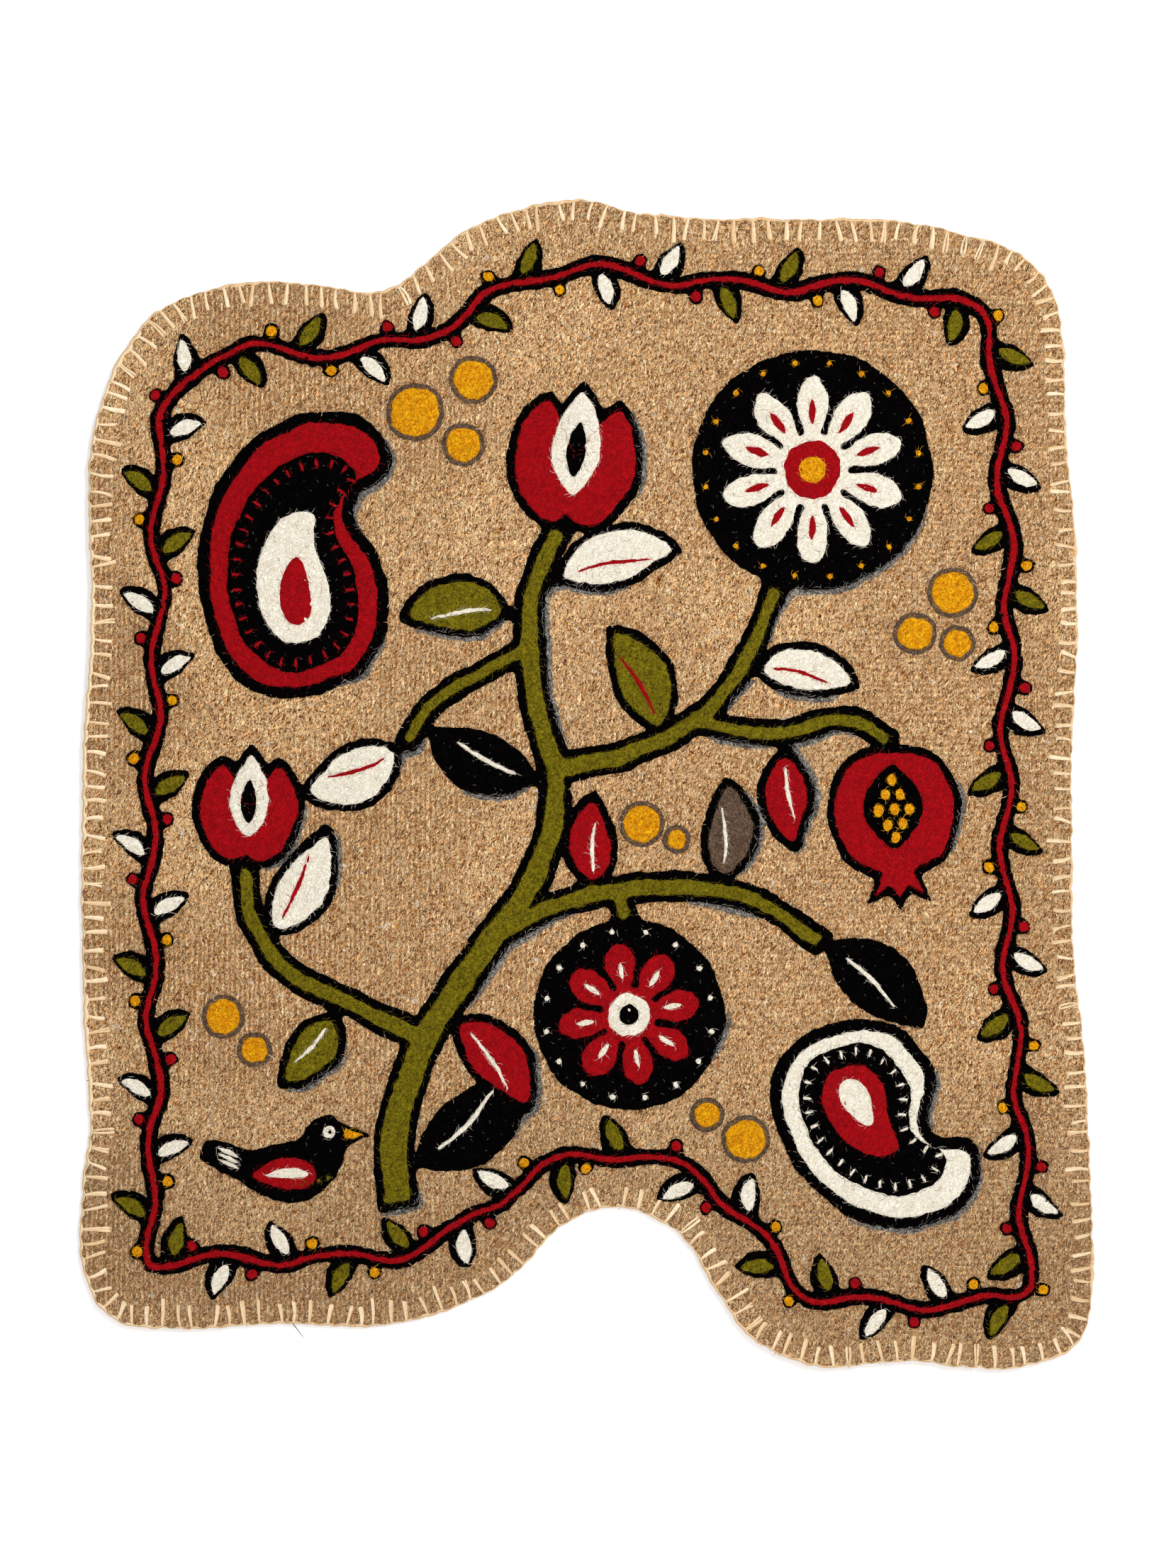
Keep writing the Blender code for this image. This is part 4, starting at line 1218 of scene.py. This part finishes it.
def heathered_felt():
    """Felt of mixed brown, tan and cream fleece, wet felted over a knitted cloth and left unshorn.

    The eye gets a matt, grainy ground of short upright locks with dark gaps between them, a few specks of
    cream and of grey-blue, and faint ribs where the knitting shows through, drawn as painted shade in
    their furrows. The colour turns greyer towards the bottom and a little greyer near the cut edge. Single
    hairs of 0.03 mm are too fine to draw, so locks of them are drawn, 1.3 to 1.5 mm wide.
    """
    material, tree, shader, place = new_material("wool_felt_heathered_wet_felted", 0.95)
    colour = blend(tree, patches(tree, place, 6.0, 0.40, 0.60, 1.0), linear("B6783D"), linear("C5884A"))
    height = []
    for n, (pitch, angle, stretch, low, high, tint, amount) in enumerate(FELT_GAPS):
        gap = locks(tree, place, pitch, angle, stretch, low, high, 70.0 + n)
        colour = blend(tree, gap, colour, linear(tint), amount)
    for n, (pitch, angle, stretch, low, high, tint, amount) in enumerate(FELT_LOCKS):
        lock = locks(tree, place, pitch, angle, stretch, low, high, 80.0 + n)
        colour = blend(tree, lock, colour, linear(tint), amount)
        height.append(lock)
    hairs = hair_lines(tree, place, 3.2, 0.05, 70, 1.6, 10.0)
    colour = blend(tree, hairs, colour, linear("FDD09A"), 0.9)
    height.append(hairs)
    axes = put(tree, "ShaderNodeSeparateXYZ", {"Vector": place}).outputs
    for direction, pitch, (start, end), (first, last), amount in FELT_RIBS:
        wave = put(tree, "ShaderNodeTexWave", {"Vector": place, "Scale": 0.314 / pitch, "Distortion": 3.0,
                                               "Detail": 2.0, "Detail Scale": 0.6, "Detail Roughness": 0.6},
                   wave_type="BANDS", bands_direction=direction, wave_profile="SIN").outputs["Fac"]
        fade = put(tree, "ShaderNodeMapRange", {"Value": axes["X"], "From Min": start, "From Max": end,
                                                "To Min": first, "To Max": last}).outputs[0]
        where = patches(tree, place, 130.0, 0.34, 0.50, 61.0 + pitch, 0.0)
        # Painted shade: the furrows between the ribs are darkened, since no relief is drawn for them
        furrow_shade = put(tree, "ShaderNodeMath", {0: 1.0, 1: wave}, operation="SUBTRACT").outputs[0]
        for share in (fade, where):
            furrow_shade = put(tree, "ShaderNodeMath", {0: furrow_shade, 1: share}, operation="MULTIPLY").outputs[0]
        colour = blend(tree, furrow_shade, colour, linear("84542D"), amount)
    colour = blend(tree, patches(tree, place, 5.5, 0.66, 0.70, 31.0, 3.0), colour, linear("F4E2C8"), 0.8)
    colour = blend(tree, patches(tree, place, 4.5, 0.67, 0.71, 32.0, 3.0), colour, linear("4A474C"), 0.75)
    # The colour turns a little greyer within about 26 to 62 mm of the cut edge
    depth = put(tree, "ShaderNodeAttribute", {}, attribute_name="depth").outputs["Fac"]
    margin = put(tree, "ShaderNodeMapRange",
                 {"Value": depth, "From Min": 26.0, "From Max": 62.0, "To Min": 1.0, "To Max": 0.0},
                 interpolation_type="SMOOTHSTEP").outputs[0]
    colour = blend(tree, margin, colour, linear("75604E"), 0.08)
    # The colour turns greyer towards the bottom
    greying = put(tree, "ShaderNodeMapRange", {"Value": axes["Z"], "From Min": -640.0, "From Max": -790.0},
                  interpolation_type="SMOOTHSTEP").outputs[0]
    colour = blend(tree, greying, colour, linear("75604E"), 0.20)
    tree.links.new(colour, shader.inputs["Base Color"])
    add_relief(tree, shader, total(tree, *height), 0.9)
    return material


def dyed_wool(name, dark, body, light, contrast=1.0, fleck=None, specular=0.08):
    """Dyed carded wool, laid in strands and needled flat.

    The eye gets a matt, even colour with fine matted hairs a little lighter and darker than the dye. The
    hairs are drawn at 0.2 mm, coarser than real ones of 0.03 mm, so that they show from a step away.
    """
    material, tree, shader, place = new_material(f"wool_{name}_dyed_needle_felted", 0.95, specular)
    cloudy = patches(tree, place, 5.0, 0.38, 0.62, 1.0)
    colour = blend(tree, cloudy, linear(body), linear(dark), 0.5 * contrast)
    hairs = []
    for n, (pitch, width, angle, stretch, hair, amount) in enumerate([
        (1.6, 0.060, 20, 2.6, dark, 0.7),
        (1.7, 0.050, 95, 2.6, light, 0.6),
        (2.1, 0.045, 150, 3.0, light, 0.65),
        (2.4, 0.035, 60, 3.0, dark, 0.7),
    ]):
        line = hair_lines(tree, place, pitch, width, angle, stretch, 40.0 + n)
        colour = blend(tree, line, colour, linear(hair), amount * contrast)
        hairs.append(line)
    if fleck:
        colour = blend(tree, patches(tree, place, 3.0, 0.62, 0.68, 51.0, 3.0), colour, linear(fleck), 0.8)
    tree.links.new(colour, shader.inputs["Base Color"])
    add_relief(tree, shader, total(tree, *hairs), 0.22)
    return material


def loose_fibre(name, dark, light):
    """Single hairs of wool that the needles left loose. The eye gets a fuzz, each hair of its own tone."""
    material, tree, shader, _ = new_material(f"wool_hair_{name}_loose", 0.9)
    tone = put(tree, "ShaderNodeAttribute", {}, attribute_name="tone").outputs["Fac"]
    tree.links.new(blend(tree, tone, linear(dark), linear(light)), shader.inputs["Base Color"])
    return material


def raffia():
    """Raffia, split from a palm leaf and sewn dry.

    The eye gets pale, flat, faintly shiny strands, each a little tan along one side, with a fine grain.
    """
    material, tree, shader, place = new_material("raffia_split_and_sewn", 0.6, 0.2)
    tone = put(tree, "ShaderNodeAttribute", {}, attribute_name="tone").outputs["Fac"]
    colour = blend(tree, tone, linear("FBE6C2"), linear("D3A871"), 0.75)
    colour = blend(tree, patches(tree, place, 2.5, 0.4, 0.7, 1.0), colour, linear("B98A55"), 0.35)
    tree.links.new(colour, shader.inputs["Base Color"])
    add_relief(tree, shader, patches(tree, place, 0.8, 0.3, 0.7, 2.0), 0.12)
    return material


MATERIALS = {
    "felt": heathered_felt(),
    "black": dyed_wool("black", "010101", "030202", "0E0A0A", 0.8, specular=0.01),
    "red": dyed_wool("red", "74020A", "A9030D", "BE121A", 0.9),
    "olive": dyed_wool("olive", "463D04", "766A0A", "988A18", 1.0, "201C06"),
    "white": dyed_wool("white", "E2D2B6", "FFF7E4", "FFFDF4", 0.7),
    "ochre": dyed_wool("ochre", "C06A02", "EDA004", "FFC81E", 1.2, "A85A06"),
    "brown": dyed_wool("brown", "3A2A20", "5E4838", "8A7460", 1.0),
    "grey": dyed_wool("grey", "2A2725", "6A645E", "BDB6AC", 1.3),
    "raffia": raffia(),
    "felt_fibre": loose_fibre("cream_and_tan", "BD8850", "FFE4BE"),
    "felt_fibre_dark": loose_fibre("brown", "4A2C14", "84592F"),
    "stray_fibre": loose_fibre("white_and_grey", "5A5450", "C4BDB3"),
    "olive_streak": loose_fibre("dark_olive", "1C1804", "625610"),
    "rust_fibre": loose_fibre("rust", "5A2A08", "C86A08"),
    "black_fibre": loose_fibre("black", "020202", "0C0909"),
    "red_fibre": loose_fibre("red", "80040C", "D02630"),
    "olive_fibre": loose_fibre("olive", "453C06", "9A8C22"),
    "white_fibre": loose_fibre("white", "D8CCB8", "FFFAF0"),
    "ochre_fibre": loose_fibre("ochre", "C97F08", "FFC83C"),
    "brown_fibre": loose_fibre("heathered_brown", "33251C", "A08A74"),
    "grey_fibre": loose_fibre("grey", "3C3835", "CFC8BE"),
}


# Stage, light and camera

# Places and sizes of the stage, in metres, and strengths of its lights
STAGE_SIZE = 9.0
WALL_PLACE = (0, 0.0012, -0.46)
WALL_GLOW = 0.30
FLOOR_PLACE = (0, 0, -1.25)
SKY_STRENGTH = 0.62
KEY_PLACE = (1.25, -2.7, 0.75)
KEY_AIM = (0, 0, -0.45)
KEY_WIDTH = 1.1
KEY_WATTS = 64.0
CAMERA_PLACE = (0.0014, -2.954, -0.4642)
# The lens and the width of the sensor, in millimetres
LENS = 85.0
SENSOR = 36.0

def stage_plane(name, place, turn, finish, colour, one_sided):
    """A square of the stage. Its matt finish gives the eye an even, pale ground without a sheen.

    A one-sided square shows from the front only, and a little light of its own keeps it white.
    """
    data = bpy.data.meshes.new(name)
    h = STAGE_SIZE / 2
    data.from_pydata([(-h, -h, 0), (h, -h, 0), (h, h, 0), (-h, h, 0)], [], [(0, 1, 2, 3)])
    obj = bpy.data.objects.new(name, data)
    obj.location = place
    obj.rotation_euler = turn
    bpy.context.scene.collection.objects.link(obj)
    material = bpy.data.materials.new(finish)
    material.use_nodes = True
    tree = material.node_tree
    shader = tree.nodes["Principled BSDF"]
    shader.inputs["Base Color"].default_value = linear(colour)
    shader.inputs["Roughness"].default_value = 1.0
    shader.inputs["Specular IOR Level"].default_value = 0.0
    if one_sided:
        shader.inputs["Emission Color"].default_value = linear(colour)
        shader.inputs["Emission Strength"].default_value = WALL_GLOW
        behind = put(tree, "ShaderNodeNewGeometry", {}).outputs["Backfacing"]
        clear = put(tree, "ShaderNodeBsdfTransparent", {})
        either = put(tree, "ShaderNodeMixShader", {0: behind, 1: shader.outputs[0], 2: clear.outputs[0]})
        tree.links.new(either.outputs[0], tree.nodes["Material Output"].inputs["Surface"])
    data.materials.append(material)
    return obj


def studio():
    """A white wall that shows from the front only, a pale floor, a wide key light and an even sky."""
    wall = stage_plane("studio_wall", WALL_PLACE, (math.radians(90), 0, 0), "wall_paint_matt_rolled",
                       "FCFCFC", True)
    wall.visible_diffuse = wall.visible_glossy = wall.visible_transmission = wall.visible_shadow = False
    stage_plane("studio_floor", FLOOR_PLACE, (0, 0, 0), "backdrop_paper_matt", "F2F0EE", False)
    world = bpy.data.worlds.new("studio")
    world.use_nodes = True
    world.node_tree.nodes["Background"].inputs["Color"].default_value = (1.0, 1.0, 1.0, 1.0)
    world.node_tree.nodes["Background"].inputs["Strength"].default_value = SKY_STRENGTH
    bpy.context.scene.world = world
    light = bpy.data.lights.new("key", "AREA")
    light.shape = "DISK"
    light.size = KEY_WIDTH
    light.energy = KEY_WATTS
    key = bpy.data.objects.new("key", light)
    key.location = KEY_PLACE
    aim = Vector(KEY_AIM) - key.location
    key.rotation_euler = aim.to_track_quat("-Z", "Y").to_euler()
    bpy.context.scene.collection.objects.link(key)
    view = bpy.context.scene.view_settings
    view.view_transform = "Standard"
    view.look = "None"


def camera():
    """Straight on, at the photograph's framing."""
    data = bpy.data.cameras.new("camera")
    data.lens = LENS
    data.sensor_width = SENSOR
    obj = bpy.data.objects.new("camera", data)
    obj.location = CAMERA_PLACE
    obj.rotation_euler = (math.radians(90), 0, 0)
    bpy.context.scene.collection.objects.link(obj)
    bpy.context.scene.camera = obj


# Loose fibres over the wools: piece, wool, spacing, length, width, seed, material, curl and places in each
LOOSE_FIBRES = [
    ("felt_fibres_cream", "felt", 7.0, (5, 12), (0.34, 0.74), 61, "felt_fibre", 2.2, 5),
    ("felt_fibres_brown", "felt", 8.2, (4, 9), (0.28, 0.50), 62, "felt_fibre_dark", 1.6, 4),
    ("black_fibres_white", "black", 11.5, (1.6, 5.0), (0.14, 0.26), 63, "stray_fibre", 3.0, 4),
    ("white_fibres_dark", "white", 13.0, (4, 11), (0.18, 0.28), 64, "brown_fibre", 2.4, 5),
    ("ochre_fibres_dark", "ochre", 4.5, (2, 5), (0.18, 0.32), 65, "rust_fibre", 2.4, 4),
    ("olive_fibres_dark", "olive", 5.2, (3, 9), (0.26, 0.50), 66, "olive_streak", 1.2, 4),
]
# Fuzz along the outlines of each wool: how far apart its fibres start
FUZZ_SPACING = [("black", 3.3), ("red", 3.8), ("olive", 3.4), ("white", 3.4), ("ochre", 3.4), ("grey", 2.6),
                ("brown", 3.0)]


def loose_fibres(surface):
    """All the fibres that lie loose on the felt and on the wools, or stick out at the edge."""
    fibres = [
        fibres_over(surface, name, wool, spacing, length, width, seed, MATERIALS[material], curl, count)
        for name, wool, spacing, length, width, seed, material, curl, count in LOOSE_FIBRES
    ]
    fibres += [stray_hairs(), edge_fuzz()]
    for n, (wool, spacing) in enumerate(FUZZ_SPACING):
        fibres.append(fuzz_along(surface, wool, spacing, 80 + n))
        if wool != "grey":
            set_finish(fibres[-1], wool)
    for piece in fibres:
        if piece.name.startswith("felt_fibres"):
            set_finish(piece, "felt")
    return fibres


def main():
    """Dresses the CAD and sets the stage."""
    panel = felt_panel()
    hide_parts("felt_ground")
    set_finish(panel, "felt")
    pieces = [motif(name) for name in sorted(NODES) if name != "felt_ground"]
    small = small_pieces()
    small.append(vine_core())
    strands = shadow_strands()
    stitches = blanket_stitch()
    surface = Surface([(panel, "felt")] + [(piece, piece["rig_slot"]) for piece in pieces + small]
                      + [(strands, "grey")])
    fibres = loose_fibres(surface)
    for piece in [panel, *pieces, *small, strands, *stitches, *fibres]:
        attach(piece, "root")
    studio()
    camera()


main()
